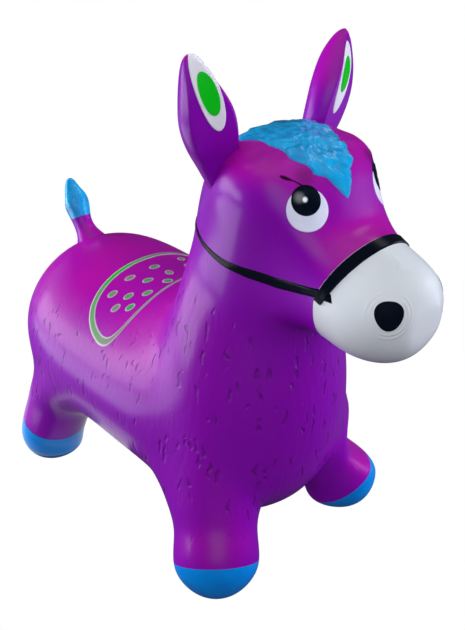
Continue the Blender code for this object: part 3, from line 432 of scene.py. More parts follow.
def band_green():
    """Green edging with a pale line along each side, rubbed to grey in places."""
    paint = Paint("saddle_band_paint", GREEN, 0.34, 0.1, 0.15, 0.3)
    x, y = paint.axes()[:2]
    across = paint.axes(paint.node("UVMap", {"uv_map": "strip"}))[1]
    middle = abs(across - 0.5)
    edge = paint.step(middle, 0.22, 0.34)
    bright = paint.fade(abs(y + 0.036), 0.010, 0.034) * paint.fade(x, -0.092, -0.080)
    patchy = paint.patches(34.0, 2.0, 0.40, 0.66) * 0.45
    green = paint.mix(paint.maths("MAXIMUM", bright, patchy), (0.12, 0.155, 0.12), (0.01, 0.33, 0.02))
    paint.colour(paint.mix(edge * 0.85, green, (0.40, 0.38, 0.42)))
    paint.roughness(0.30, 0.14, 70.0, 2.0)
    return paint.material


def spot_green():
    """Grey-green spots with a pale rim."""
    paint = Paint("saddle_spot_paint", (0.10, 0.26, 0.16), 0.34, 0.1, 0.15, 0.3)
    rim = paint.node("Attribute", {"attribute_name": "rim"}, {}, "Fac")
    patchy = paint.patches(30.0, 2.0, 0.42, 0.62)
    green = paint.mix(patchy, (0.14, 0.16, 0.12), (0.02, 0.24, 0.05))
    paint.colour(paint.mix(paint.step(rim, 0.62, 0.92), green, (0.34, 0.28, 0.36)))
    paint.roughness(0.30, 0.14, 70.0, 2.0)
    return paint.material


def lash_paint():
    """Sprayed lash, dark with a reddish haze."""
    paint = Paint("lash_paint", (0.012, 0.0, 0.012), 0.34, 0.1, 0.12, 0.3)
    haze = paint.patches(60.0, 3.0, 0.4, 0.7)
    paint.colour(paint.mix(haze, (0.006, 0.001, 0.010), (0.075, 0.0, 0.040)))
    return paint.material


PAINTS = {
    "purple": skin_vinyl(),
    "blue": plain_vinyl("blue_vinyl", BLUE, (0.0, 0.130, 0.50), 0.16, 0.12),
    "hair": hair_vinyl(),
    "muzzle": muzzle_vinyl(),
    "eye_white": plain_vinyl("eye_white_paint", (0.58, 0.60, 0.76), (0.46, 0.50, 0.68)),
    "ear_white": plain_vinyl("ear_white_paint", (0.62, 0.62, 0.70), (0.54, 0.55, 0.63)),
    "ear_green": plain_vinyl("ear_green_paint", (0.0, 0.44, 0.006), (0.0, 0.36, 0.01)),
    "pupil": eye_black(),
    "strap": strap_black(),
    "nostril": plain_vinyl("nostril_paint", NAVY, (0.002, 0.005, 0.012), 0.08, 0.05),
    "lash": lash_paint(),
    "band": band_green(),
    "spot": spot_green(),
    "valve": plain_vinyl("valve_plastic", (0.72, 0.72, 0.70), (0.62, 0.62, 0.60)),
}


# Modelling helpers
def rest():
    """Leave edit mode with nothing selected."""
    if bpy.context.object and bpy.context.object.mode != "OBJECT":
        bpy.ops.object.mode_set(mode="OBJECT")
    bpy.ops.object.select_all(action="DESELECT")


def work_on(piece):
    """Make a piece the only one selected."""
    rest()
    piece.select_set(True)
    bpy.context.view_layer.objects.active = piece


def edit(piece, select="SELECT"):
    """Open a piece for editing and give its mesh."""
    work_on(piece)
    bpy.ops.object.mode_set(mode="EDIT")
    bpy.ops.mesh.select_mode(type="VERT")
    bpy.ops.mesh.select_all(action=select)
    return bmesh.from_edit_mesh(piece.data)


def apply_modifier(piece, kind, **settings):
    """Add a modifier and apply it."""
    work_on(piece)
    modifier = piece.modifiers.new(kind.lower(), kind)
    for name, value in settings.items():
        setattr(modifier, name, value)
    bpy.ops.object.modifier_apply(modifier=modifier.name)


def smooth(piece, levels):
    apply_modifier(piece, "SUBSURF", levels=levels, render_levels=levels)


def start_ring(name, count):
    """A new piece: a ring of corners round the origin, open for editing."""
    rest()
    bpy.ops.mesh.primitive_circle_add(vertices=count, radius=1)
    piece = bpy.context.object
    piece.name = name
    return piece, edit(piece)


def draw_out(piece):
    """Extrude what is selected, and give the mesh, with what is new selected."""
    bpy.ops.mesh.extrude_region_move()
    return bmesh.from_edit_mesh(piece.data)


def close_at(piece, pole):
    """Draw the selected ring together at a pole."""
    draw_out(piece)
    bpy.ops.mesh.merge(type="CENTER")
    mesh = bmesh.from_edit_mesh(piece.data)
    chosen(mesh)[0][0].co = pole
    return mesh


def turn_outwards(piece):
    """Make the open piece's faces look outwards, from where its corners are now, and end the editing."""
    bpy.ops.mesh.select_all(action="SELECT")
    bmesh.from_edit_mesh(piece.data).normal_update()
    bpy.ops.mesh.normals_make_consistent(inside=False)
    bmesh.from_edit_mesh(piece.data).normal_update()
    rest()


def finish(piece, paint, slot, *nodes, body=None):
    """Give a piece its finish, hide the solids it stands for, and attach it to the body it rides on."""
    work_on(piece)
    bpy.ops.object.shade_smooth_by_angle(angle=math.radians(50))
    rest()
    piece.data.materials.clear()
    piece.data.materials.append(PAINTS[paint])
    if nodes:
        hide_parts(*nodes)
    if body:
        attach(piece, body)


# Skin
def ring_frame(top_x, top_z, bottom_x, bottom_z, half_width):
    """The frame of a body ring: a unit circle in it becomes the ring."""
    top = Vector((top_x, 0, top_z)) * TOY_HEIGHT
    bottom = Vector((bottom_x, 0, bottom_z)) * TOY_HEIGHT
    rise = (top - bottom) / 2 * RING_SWELL
    spread = Vector((0, half_width * TOY_HEIGHT * RING_SWELL, 0))
    frame = Matrix((spread, rise, rise.cross(spread).normalized())).transposed().to_4x4()
    return Matrix.Translation((top + bottom) / 2) @ frame


RING_FRAMES = [ring_frame(*row) for row in BODY_RINGS]


def cage_point(ring, side):
    turn = math.tau * side / RING_SIDES
    return RING_FRAMES[ring] @ Vector((math.sin(turn), math.cos(turn), 0))


def face_point(row, side):
    """The middle of a face of the cage, between two rings."""
    corners = [cage_point(ring, edge) for ring in (row, row + 1) for edge in (side, side + 1)]
    return sum(corners, Vector()) / 4


def select_faces(mesh, points):
    """Select the face nearest to each point, and no other."""
    for face in mesh.faces:
        face.select = False
    for point in points:
        nearest = min(mesh.faces, key=lambda face: (face.calc_center_median() - point).length)
        nearest.select = True
    mesh.select_flush_mode()


def chosen(mesh):
    """The selected corners and faces."""
    return [vertex for vertex in mesh.verts if vertex.select], [face for face in mesh.faces if face.select]


def shape_cap(vertices, faces, centre, normal, half_width, half_height):
    """Lay an extruded patch flat, with its rim on an ellipse about the centre."""
    patch = set(faces)
    rim = set()
    for face in faces:
        for side in face.edges:
            if sum(linked in patch for linked in side.link_faces) == 1:
                rim.update(side.verts)
    across = Vector((0, 1, 0))
    across = (across - normal * across.dot(normal)).normalized()
    upward = normal.cross(across).normalized()
    middle = sum((vertex.co for vertex in vertices), Vector()) / len(vertices)

    def bearing(vertex):
        offset = vertex.co - middle
        return math.atan2(offset.dot(upward), offset.dot(across))

    ordered = sorted(rim, key=bearing)
    step = math.tau / len(ordered)
    swell = 6 / (4 + 2 * math.cos(step))
    sine = sum(math.sin(bearing(vertex) - step * index) for index, vertex in enumerate(ordered))
    cosine = sum(math.cos(bearing(vertex) - step * index) for index, vertex in enumerate(ordered))
    start = math.atan2(sine, cosine)
    reach = sum((vertex.co - middle).length for vertex in ordered) / len(ordered)
    places = {}
    for index, vertex in enumerate(ordered):
        turn = start + step * index
        width = across * math.cos(turn) * half_width * swell
        places[vertex] = centre + width + upward * math.sin(turn) * half_height * swell
    for vertex in vertices:
        if vertex not in rim:
            offset = vertex.co - middle
            width = across * offset.dot(across) / reach * half_width
            places[vertex] = centre + width + upward * offset.dot(upward) / reach * half_height
    for vertex, place in places.items():
        vertex.co = place


def leg_point(leg, hand, height):
    """A point of a leg's axis: straight down to the floor from the ball of the hoof."""
    rise = max(height - FOOT_BALL_HEIGHT, 0)
    (foot_x, foot_y), (lean_x, lean_y) = leg["foot"], leg["lean"]
    return Vector((foot_x - lean_x * rise, hand * (foot_y - lean_y * rise), height))


def leg_outward(leg, hand):
    return Vector((leg["lean"][0], hand * leg["lean"][1], -1)).normalized()


def draw_skin():
    """The whole outer skin: rings drawn forward from the rump, then legs and muzzle drawn out of it."""
    skin, mesh = start_ring("skin", RING_SIDES)
    bmesh.ops.transform(mesh, matrix=RING_FRAMES[0], verts=mesh.verts)
    for frame_before, frame_after in zip(RING_FRAMES, RING_FRAMES[1:]):
        mesh = draw_out(skin)
        bmesh.ops.transform(mesh, matrix=frame_after @ frame_before.inverted(), verts=chosen(mesh)[0])
    for pole in (CROWN_POLE, RUMP_POLE):
        mesh = close_at(skin, pole)
        for vertex in mesh.verts:
            vertex.select = any((vertex.co - cage_point(0, side)).length < MM for side in range(RING_SIDES))
        mesh.select_flush(True)
    bpy.ops.mesh.select_mode(type="FACE")
    for index, (leg, hand) in enumerate([(leg, hand) for leg in LEGS.values() for hand in SIDES], 1):
        mesh = bmesh.from_edit_mesh(skin.data)
        sides = LEG_SIDES if hand > 0 else [RING_SIDES - 1 - side for side in LEG_SIDES]
        select_faces(mesh, [face_point(row, side) for row in (leg["row"], leg["row"] + 1) for side in sides])
        drawn = set()
        for height, radius, lean in leg["rings"]:
            mesh = draw_out(skin)
            vertices, faces = chosen(mesh)
            drawn.update(vertices)
            down = Vector((leg["lean"][0] * lean, hand * leg["lean"][1] * lean, -1)).normalized()
            centre = leg_point(leg, hand, height * TOY_HEIGHT)
            shape_cap(vertices, faces, centre, down, radius * TOY_HEIGHT, radius * TOY_HEIGHT)
        for face in mesh.faces:
            if any(vertex in drawn for vertex in face.verts):
                face.material_index = index
    mesh = bmesh.from_edit_mesh(skin.data)
    select_faces(mesh, [face_point(row, side) for row in MUZZLE_ROWS for side in MUZZLE_SIDES])
    for centre_x, centre_z, half_width, half_height, lean in MUZZLE_RINGS:
        mesh = draw_out(skin)
        turn = math.radians(lean)
        forward = Vector((math.cos(turn), 0, math.sin(turn)))
        centre = Vector((centre_x, 0, centre_z)) * TOY_HEIGHT
        shape_cap(*chosen(mesh), centre, forward, half_width * TOY_HEIGHT, half_height * TOY_HEIGHT)
    turn_outwards(skin)
    smooth(skin, SKIN_LEVELS)
    return skin


skin = draw_skin()


def tree_of(piece):
    """A piece's surface, ready to have rays cast on it."""
    mesh = piece.data
    points = [vertex.co.copy() for vertex in mesh.vertices]
    return BVHTree.FromPolygons(points, [tuple(polygon.vertices) for polygon in mesh.polygons])


for place, reach, push in SKIN_PUSHES:
    for vertex in skin.data.vertices:
        share = (vertex.co - place).length / reach
        if share < 1:
            vertex.co += push * (1 - share ** 2) ** 2
SKIN_TREE = tree_of(skin)
normals = np.empty(len(skin.data.vertices) * 3, np.float32)
skin.data.vertex_normals.foreach_get("vector", normals)
skin.data.attributes.new("skin_normal", "FLOAT_VECTOR", "POINT").data.foreach_set("vector", normals)


def cut_line(piece, point, normal, wanted):
    """Cut a line through the faces that are wanted."""
    mesh = edit(piece, "DESELECT")
    bpy.ops.mesh.select_mode(type="FACE")
    for face in mesh.faces:
        face.select = wanted(face.calc_center_median())
    bmesh.update_edit_mesh(piece.data)
    bpy.ops.mesh.bisect(plane_co=point, plane_no=normal)
    rest()


def part_off(piece, name, wanted):
    """Make the wanted faces a piece of their own."""
    mesh = edit(piece, "DESELECT")
    bpy.ops.mesh.select_mode(type="FACE")
    for face in mesh.faces:
        face.select = wanted(face)
    bmesh.update_edit_mesh(piece.data)
    before = set(bpy.data.objects)
    bpy.ops.mesh.separate(type="SELECTED")
    rest()
    part = (set(bpy.data.objects) - before).pop()
    part.name = name
    return part


def beyond(point, normal):
    return lambda face: (face.calc_center_median() - point).dot(normal) > 0


def match_shading(piece):
    """Shade the outer face with the whole skin's normals, so that it looks as one with its neighbours."""
    mesh = piece.data
    count = len(mesh.vertices)
    stored = np.empty(count * 3, np.float32)
    mesh.attributes["skin_normal"].data.foreach_get("vector", stored)
    stored = stored.reshape(-1, 3)
    corners = np.empty(len(mesh.loops), np.int32)
    mesh.loops.foreach_get("vertex_index", corners)
    face_normals = np.empty(len(mesh.polygons) * 3, np.float32)
    mesh.polygon_normals.foreach_get("vector", face_normals)
    sizes = np.empty(len(mesh.polygons), np.int32)
    mesh.polygons.foreach_get("loop_total", sizes)
    flat = np.repeat(face_normals.reshape(-1, 3), sizes, axis=0)
    wanted = stored[corners]
    wanted /= np.maximum(np.linalg.norm(wanted, axis=1, keepdims=True), 1e-9)
    outer = (wanted * flat).sum(axis=1) > 0.6
    mesh.normals_split_custom_set(np.where(outer[:, None], wanted, 0.0).tolist())


leg_pieces = {}
for index, (end, hand) in enumerate([(end, hand) for end in LEGS for hand in SIDES], 1):
    name = f"leg_skin_{end}_{SIDES[hand]}"
    leg_pieces[end, hand] = part_off(skin, name, lambda face: face.material_index == index)

cut_line(skin, NECK_LINE, NECK_NORMAL, lambda middle: middle.x > -30 * MM and middle.z > 120 * MM)
head = part_off(skin, "head_and_neck_skin", beyond(NECK_LINE, NECK_NORMAL))
torso = skin
torso.name = "trunk_skin"

muzzle_forward = Vector((math.cos(MUZZLE_LEAN), 0, -math.sin(MUZZLE_LEAN)))
muzzle_upward = Vector((math.sin(MUZZLE_LEAN), 0, math.cos(MUZZLE_LEAN)))


def on_muzzle(middle):
    return (middle - MUZZLE_LINE).dot(muzzle_upward) > -MUZZLE_DEPTH and middle.x > MUZZLE_REAR


# Below the strap's end the white skin's edge runs down more steeply
jaw_corner = MUZZLE_LINE - muzzle_upward * STRAP_END_DROP
jaw_forward = Vector((math.cos(JAW_LEAN), 0, -math.sin(JAW_LEAN)))


def on_jaw(middle):
    return on_muzzle(middle) and (middle - jaw_corner).dot(muzzle_upward) < 0


def in_white(face):
    middle = face.calc_center_median()
    in_front = not on_jaw(middle) or beyond(jaw_corner, jaw_forward)(face)
    return on_muzzle(middle) and beyond(MUZZLE_LINE, muzzle_forward)(face) and in_front


cut_line(head, MUZZLE_LINE, muzzle_forward, on_muzzle)
cut_line(head, jaw_corner, jaw_forward, on_jaw)
muzzle = part_off(head, "muzzle_skin", in_white)


def set_skin_piece(piece, paint, slot, node, body=None):
    """Thicken a part of the skin inwards and finish it."""
    for polygon in piece.data.polygons:
        polygon.material_index = 0
    apply_modifier(piece, "SOLIDIFY", thickness=WALL, offset=-1)
    finish(piece, paint, slot, node, body=body)
    match_shading(piece)
    piece.data.attributes.remove(piece.data.attributes["skin_normal"])


for (end, hand), leg_skin in leg_pieces.items():
    label = f"{end}_{SIDES[hand]}"
    outward = leg_outward(LEGS[end], hand)
    ball = leg_point(LEGS[end], hand, FOOT_BALL_HEIGHT)
    joint = leg_point(LEGS[end], hand, LEG_JOINT_HEIGHT)
    cut_line(leg_skin, ball, outward, lambda middle: True)
    hoof = part_off(leg_skin, f"hoof_cap_{label}", beyond(ball, outward))
    set_skin_piece(leg_skin, "purple", "purple_skin", f"leg_{label}")
    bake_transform(leg_skin, "torso", f"leg_{label}", joint - outward * 10 * MM, joint + outward * 16 * MM)
    set_skin_piece(hoof, "blue", "blue_skin", f"hoof_{label}", f"leg_{label}")

set_skin_piece(torso, "purple", "purple_skin", "torso_skin", "torso")
set_skin_piece(head, "purple", "purple_skin", "head_skin")
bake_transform(head, "torso", "neck_head", NECK_LINE, NECK_LINE + NECK_NORMAL * NECK_BEND)
set_skin_piece(muzzle, "muzzle", "white_skin", "muzzle", "neck_head")


# Painted features
def facing_frame(place, outward):
    """A frame at a place whose third axis is outward, its first level and its second upward."""
    outward = Vector(outward).normalized()
    across = UP.cross(outward)
    if across.length < 0.001:
        across = Vector((1, 0, 0))
    across.normalize()
    turn = Matrix((across, outward.cross(across), outward)).transposed().to_4x4()
    return Matrix.Translation(place) @ turn


def on_surface(tree, start, direction, setback=0.0):
    """The place and normal where a ray meets a surface, or else those nearest to the start."""
    hit = tree.ray_cast(start - direction * setback, direction)
    return (hit if hit[0] else tree.find_nearest(start))[:2]


def thicken(layer, tree, wall):
    """Make a layer's faces look away from the surface under it, and give it a wall inwards."""
    turn_outwards(layer)
    outward = 0
    for polygon in layer.data.polygons:
        outward += polygon.normal.dot(tree.find_nearest(polygon.center)[1]) * polygon.area
    if outward < 0:
        layer.data.flip_normals()
    apply_modifier(layer, "SOLIDIFY", thickness=wall, offset=-1)


def lay_patch(name, outline, place, outward, lift, tree=SKIN_TREE, rows=8, wall=0.8 * MM, crumple=0.0):
    """A thin layer on a surface, inside an outline seen along outward. Its rim runs into the surface."""
    patch, mesh = start_ring(name, len(outline))
    rim = mesh.verts.layers.float.new("rim")
    for vertex, (along, across) in zip(mesh.verts, outline):
        vertex.co = (along, across, 0)
        vertex[rim] = 1
    shares = [1.0, 0.985, 0.96, 0.92] + [0.85 * (rows - row) / rows for row in range(rows)]
    for share_before, share in zip(shares, shares[1:]):
        mesh = draw_out(patch)
        rim = mesh.verts.layers.float["rim"]
        for vertex in chosen(mesh)[0]:
            vertex.co *= share / share_before
            vertex[rim] = share
    bpy.ops.mesh.merge(type="CENTER")
    mesh = bmesh.from_edit_mesh(patch.data)
    rim = mesh.verts.layers.float["rim"]
    frame = facing_frame(place, outward)
    direction = -Vector(outward).normalized()
    for vertex in mesh.verts:
        hit, normal = on_surface(tree, frame @ vertex.co, direction, RAY_START)
        rise = lift * min(1.0, (1 - vertex[rim]) / 0.04) ** 0.5
        if crumple:
            fold = noise.noise(hit * 85) * 0.8 + (0.4 - abs(noise.noise(hit * 140)) * 1.6)
            rise *= 1 + crumple * fold
        vertex.co = hit + normal * (rise - RIM_DEPTH)
    thicken(patch, tree, wall)
    return patch


def lay_strip(name, rays, lift, along, across=8, closed=False, wall=0.8 * MM):
    """A thin strip on the skin. rays(u, v) gives a point outside and a direction inwards."""
    rest()
    bpy.ops.mesh.primitive_grid_add(x_subdivisions=along, y_subdivisions=across, size=1)
    strip = bpy.context.object
    strip.name = name
    mesh = edit(strip)
    layer = mesh.loops.layers.uv.active
    shares = {vertex: (vertex.co.x + 0.5, vertex.co.y + 0.5) for vertex in mesh.verts}
    for face in mesh.faces:
        for corner in face.loops:
            corner[layer].uv = shares[corner.vert]
    for vertex, (u, v) in shares.items():
        hit, normal = on_surface(SKIN_TREE, *rays(u, v))
        edge = min(v, 1 - v) * across
        end = 1.0 if closed else min(u, 1 - u) * along
        rise = lift * min(1.0, edge, end) ** 0.5
        vertex.co = hit + normal * (rise - RIM_DEPTH)
    if closed:
        bpy.ops.mesh.select_all(action="SELECT")
        bpy.ops.mesh.remove_doubles(threshold=0.01 * MM)
    thicken(strip, SKIN_TREE, wall)
    strip.data.uv_layers[0].name = "strip"
    return strip


def round_outline(radius, steps=64, lobe=0.0, squeeze=1.0):
    """A circle, an oval, or a rounded triangle with its narrow end down."""
    points = []
    for step in range(steps):
        turn = math.tau * step / steps
        reach = radius * (1 + lobe * math.sin(3 * turn))
        points.append((reach * math.cos(turn), reach * math.sin(turn) * squeeze))
    return points


def oval_outline(half_width, half_height, turn, steps=64):
    """An oval, turned in its plane."""
    turn = Matrix.Rotation(turn, 2)
    return [tuple(turn @ Vector((x * half_width, y * half_height))) for x, y in round_outline(1, steps)]


def eye_lash(name, hand):
    """A sprayed lash: a stroke that starts above the pupil and flicks up and back from the eye."""
    place, facing = EYES[hand]
    eye_frame = facing_frame(place, facing)
    inwards = -Vector(facing).normalized()

    def rays(u, v):
        """In millimetres, the stroke is wide at its start and again near its tip."""
        turn = math.radians(96 + 34 * u)
        width = 1.7 + 2.0 * max(0.0, 1 - u * 2.6) + 3.6 * math.exp(-((u - 0.84) / 0.15) ** 2)
        reach = (17.0 + 15.5 * u ** 1.3 + (v - 0.5) * width) * MM
        flat = Vector((math.cos(turn) * reach * -hand, math.sin(turn) * reach, 0))
        return eye_frame @ flat - inwards * RAY_START, inwards

    return lay_strip(name, rays, 0.55 * MM, 48, 8)


for hand, side in SIDES.items():
    place, facing = EYES[hand]
    white = lay_patch(f"eye_white_disc_{side}", round_outline(EYE_RADIUS), place, facing, 0.6 * MM)
    finish(white, "eye_white", "white_skin", f"eye_white_{side}", body="neck_head")
    place = place + facing_frame((0, 0, 0), facing) @ Vector((PUPIL_SHIFTS[hand], PUPIL_RISE, 0))
    pupil = lay_patch(f"eye_pupil_disc_{side}", round_outline(PUPIL_RADIUS), place, facing, 0.9 * MM)
    finish(pupil, "pupil", "black_paint", f"eye_pupil_{side}", body="neck_head")
    lash = eye_lash(f"lash_stroke_{side}", hand)
    finish(lash, "lash", "black_paint", f"eyelash_{side}", body="neck_head")
    outline = round_outline(NOSTRIL_RADIUS, 64, 0.055, 1.03)
    nostril = lay_patch(f"nostril_spot_{side}", outline, *NOSTRILS[hand], 0.7 * MM)
    finish(nostril, "nostril", "black_paint", f"nostril_{side}", body="neck_head")


# Bridle
def noseband_rays(u, v):
    """Across the nose in leaning planes, from the right cheek to the left."""
    width = NOSEBAND_WIDTH * (0.68 + 0.32 * math.sin(math.pi * u) ** 0.5)
    centre = jaw_corner + muzzle_forward * width * v
    low = math.radians(-2)
    turn = low + (math.pi - 2 * low) * u
    reach = Vector((0, -math.cos(turn), 0)) + muzzle_upward * math.sin(turn)
    return centre + reach * 2 * RAY_START, -reach


noseband = lay_strip("noseband_strap", noseband_rays, 1.6 * MM, 120, 10, wall=1.4 * MM)
finish(noseband, "strap", "black_paint", "noseband", body="neck_head")

# At each place along the neck: the strap's height above the floor, and its width
STRAP_HEIGHTS = (
    (-0.05, 0.351), (0.02, 0.3485), (0.050, 0.3455), (0.066, 0.3405), (0.094, 0.3335),
    (0.117, 0.3305), (0.144, 0.3290), (0.165, 0.3305), (0.185, 0.3325), (0.3, 0.3325),
)
STRAP_WIDTHS = (
    (-0.02, 2.8 * MM), (0.05, 4.6 * MM), (0.09, 7.5 * MM), (0.125, 11.0 * MM), (0.15, 11.0 * MM),
    (0.175, 8.5 * MM), (0.2, 8.0 * MM),
)
STRAP_AXIS_X = 100 * MM


def look_up(x, table):
    """A value between the rows of a table."""
    return float(np.interp(x, *zip(*table)))


def cheek_strap_rays(u, v):
    """Round the back of the neck, from the noseband's right end to its left."""
    turn = math.radians(27 + (360 - 54) * u)
    outward = Vector((math.cos(turn), -math.sin(turn), 0))
    x = STRAP_AXIS_X
    for attempt in range(4):
        start = Vector((STRAP_AXIS_X, 0, look_up(x, STRAP_HEIGHTS))) + outward * 200 * MM
        hit = SKIN_TREE.ray_cast(start, -outward)[0]
        x = hit.x if hit else x
    start.z += (v - 0.5) * look_up(x, STRAP_WIDTHS)
    return start, -outward


cheek_strap = lay_strip("cheek_strap_band", cheek_strap_rays, 0.9 * MM, 260, 6, wall=1.0 * MM)
finish(cheek_strap, "strap", "black_paint", "cheek_strap", body="neck_head")


# Forelock
FORELOCK_FRONT = 50 * MM
FORELOCK_LENGTH = 96 * MM
FORELOCK_HALF_WIDTH = 36 * MM
FORELOCK_SWAY = 3.5 * MM
# Its left half: shares of the length, from the point between the eyes, and of the half width
FORELOCK_HALF = (
    (0.000, 0.00), (0.030, 0.14), (0.080, 0.30), (0.130, 0.40), (0.165, 0.56), (0.190, 0.66), (0.225, 0.64),
    (0.265, 0.68), (0.310, 0.80), (0.350, 0.88), (0.390, 0.91), (0.440, 0.88), (0.480, 0.88), (0.540, 0.95),
    (0.600, 1.00), (0.660, 0.97), (0.720, 0.99), (0.800, 1.08), (0.880, 1.12), (0.950, 1.00), (1.000, 0.55),
)


def forelock_outline():
    """The hair seen from above, scalloped on both sides. Its point between the eyes sways to the right."""
    corners = []
    for along, across in FORELOCK_HALF + tuple((along, -across) for along, across in FORELOCK_HALF[:0:-1]):
        x = FORELOCK_FRONT - along * FORELOCK_LENGTH
        corners.append((x, across * FORELOCK_HALF_WIDTH - FORELOCK_SWAY * max(0.0, x) / FORELOCK_FRONT))
    points = []
    for (x, y), (next_x, next_y) in zip(corners, corners[1:] + corners[:1]):
        for step in range(4):
            points.append((x + (next_x - x) * step / 4, y + (next_y - y) * step / 4))
    return points


forelock = lay_patch(
    "forelock_hair", forelock_outline(), Vector((120 * MM, 0, 400 * MM)), UP, 1.9 * MM,
    rows=26, wall=2.0 * MM, crumple=0.8,
)
finish(forelock, "hair", "blue_skin", "forelock", body="neck_head")


# Saddle
SADDLE_RAY_HEIGHT = 400 * MM
# Its right half: shares of the length, from the front, and of the half width
SADDLE_HALF = (
    (0.00, 0.00), (0.00, 0.20), (0.00, 0.40), (0.005, 0.60), (0.03, 0.76), (0.08, 0.89), (0.17, 0.975),
    (0.30, 1.00), (0.46, 0.985), (0.62, 0.945), (0.76, 0.88), (0.87, 0.78), (0.95, 0.62), (0.99, 0.42),
    (1.00, 0.20), (1.00, 0.00),
)


def closed_curve(half, start_x, length, half_width):
    """A smooth closed outline from its right half, as a function of a share of its run."""
    right = [Vector((start_x - along * length, -across * half_width, 0)) for along, across in half]
    points = right + [Vector((p.x, -p.y, 0)) for p in reversed(right) if p.y]

    def at(u):
        place = u * len(points)
        index = math.floor(place)
        t = place - index
        a, b, c, d = (points[(index + step) % len(points)] for step in (-1, 0, 1, 2))
        bend, twist = 2 * a - 5 * b + 4 * c - d, 3 * b - a - 3 * c + d
        return 0.5 * (2 * b + (c - a) * t + bend * t ** 2 + twist * t ** 3)

    return at


saddle_outer = closed_curve(SADDLE_HALF, -34 * MM, 76 * MM, 99 * MM)
saddle_inner = closed_curve(SADDLE_HALF, -37.4 * MM, 65.4 * MM, 92 * MM)


def saddle_rays(u, v):
    point = saddle_outer(u % 1.0).lerp(saddle_inner(u % 1.0), v)
    return Vector((point.x, point.y, SADDLE_RAY_HEIGHT)), -UP


saddle_band = lay_strip("saddle_band", saddle_rays, 0.5 * MM, 320, 8, closed=True)
finish(saddle_band, "band", "green_paint", "saddle_edging", body="torso")

SPOT_RADIUS = 6.2 * MM
SPOT_NARROWING = 0.68
SPOT_TURN = math.radians(-24)
SADDLE_MIDDLE = 6 * MM
SADDLE_SPOTS = (
    (-0.087, -0.034), (-0.066, -0.026), (-0.083, -0.005), (-0.060, -0.003), (-0.045, -0.016),
    (-0.085, -0.063), (-0.065, -0.055), (-0.048, -0.041), (-0.067, -0.079), (-0.051, -0.067),
)
spots = []
for hand in (1, -1):
    for x, y in SADDLE_SPOTS:
        if hand < 0 and abs(y) < SADDLE_MIDDLE:
            continue
        place = Vector((x, y * hand, 240 * MM))
        normal = SKIN_TREE.ray_cast(Vector((x, y * hand, SADDLE_RAY_HEIGHT)), -UP)[1]
        oval = oval_outline(SPOT_RADIUS * SPOT_NARROWING, SPOT_RADIUS, SPOT_TURN * hand, 24)
        spots.append(lay_patch(f"saddle_spot_{len(spots)}", oval, place, normal, 0.4 * MM, rows=3))
work_on(spots[0])
for spot in spots:
    spot.select_set(True)
bpy.ops.object.join()
saddle_spots = spots[0]
saddle_spots.name = "saddle_spots"
finish(saddle_spots, "spot", "green_paint", body="torso")


# Ears
# Share of the length, then half width, depth in front and depth behind as shares of the toy's height
EAR_RINGS = (
    (-0.10, 0.024, 0.018, 0.020),
    (0.00, 0.028, 0.020, 0.024),
    (0.13, 0.0330, 0.022, 0.026),
    (0.25, 0.0390, 0.025, 0.026),
    (0.37, 0.0420, 0.0270, 0.0265),
    (0.50, 0.0415, 0.0280, 0.0280),
    (0.62, 0.0350, 0.0265, 0.0285),
    (0.74, 0.0270, 0.0225, 0.0275),
    (0.86, 0.0190, 0.0145, 0.0205),
    (0.95, 0.0110, 0.0080, 0.0120),
)
# Section from the middle of the front round to the back: shares of half width and depth
EAR_SECTION = (
    (0.00, 0.93), (0.46, 0.97), (0.87, 0.96), (1.04, 0.55), (1.07, 0.05), (0.96, -0.42), (0.72, -0.80),
    (0.38, -1.02), (0.00, -1.09),
)
EAR_RIM_SPOKES = (2, 14)
EAR_SWELL = 1.04
EAR_OVAL_TURN = math.radians(20)
EAR_WHITE_SIZE = (19.5 * MM, 61 * MM)
EAR_GREEN_WIDTH = 14.6 * MM
EAR_LINING_SHIFT = 3.5 * MM
# Of each ear: shares of its length at the middle of the white and of the green, and the green's length
EAR_LININGS = {-1: (0.695, 0.695, 34.5 * MM), 1: (0.590, 0.625, 31.0 * MM)}


def draw_ear(hand):
    """A leaf-shaped ear: full behind, nearly flat in front, with a soft edge round the front."""
    base = Vector((EAR_ROOT.x, -EAR_ROOT.y * hand, EAR_ROOT.z))
    tip = Vector((EAR_TIP.x, -EAR_TIP.y * hand, EAR_TIP.z))
    axis = (tip - base).normalized()
    facing = Vector((math.cos(EAR_TURN), -hand * math.sin(EAR_TURN), 0))
    facing = (facing - axis * facing.dot(axis)).normalized()
    across = axis.cross(facing)
    length = (tip - base).length
    section = [*EAR_SECTION, *((-wide, deep) for wide, deep in EAR_SECTION[-2:0:-1])]
    ear, mesh = start_ring(f"ear_{SIDES[hand]}_skin", len(section))
    spokes = mesh.verts.layers.int.new("spoke")
    for spoke, vertex in enumerate(mesh.verts):
        vertex[spokes] = spoke
    for index, (along, half_width, front, back) in enumerate(EAR_RINGS):
        if index:
            mesh = draw_out(ear)
        spokes = mesh.verts.layers.int["spoke"]
        for vertex in chosen(mesh)[0]:
            wide, deep = section[vertex[spokes]]
            depth = facing * deep * (front if deep > 0 else back) * TOY_HEIGHT
            width = across * wide * half_width * TOY_HEIGHT
            vertex.co = base + axis * length * along + (depth + width) * EAR_SWELL
    mesh = close_at(ear, tip)
    creases = mesh.edges.layers.float.new("crease_edge")
    spokes = mesh.verts.layers.int["spoke"]
    for line in mesh.edges:
        first, second = line.verts
        height = max((corner.co - base).dot(axis) for corner in line.verts) / length
        if first[spokes] == second[spokes] and first[spokes] in EAR_RIM_SPOKES and 0.2 < height < 0.99:
            line[creases] = 0.55
    turn_outwards(ear)
    smooth(ear, 3)
    return ear, base, axis, facing, length


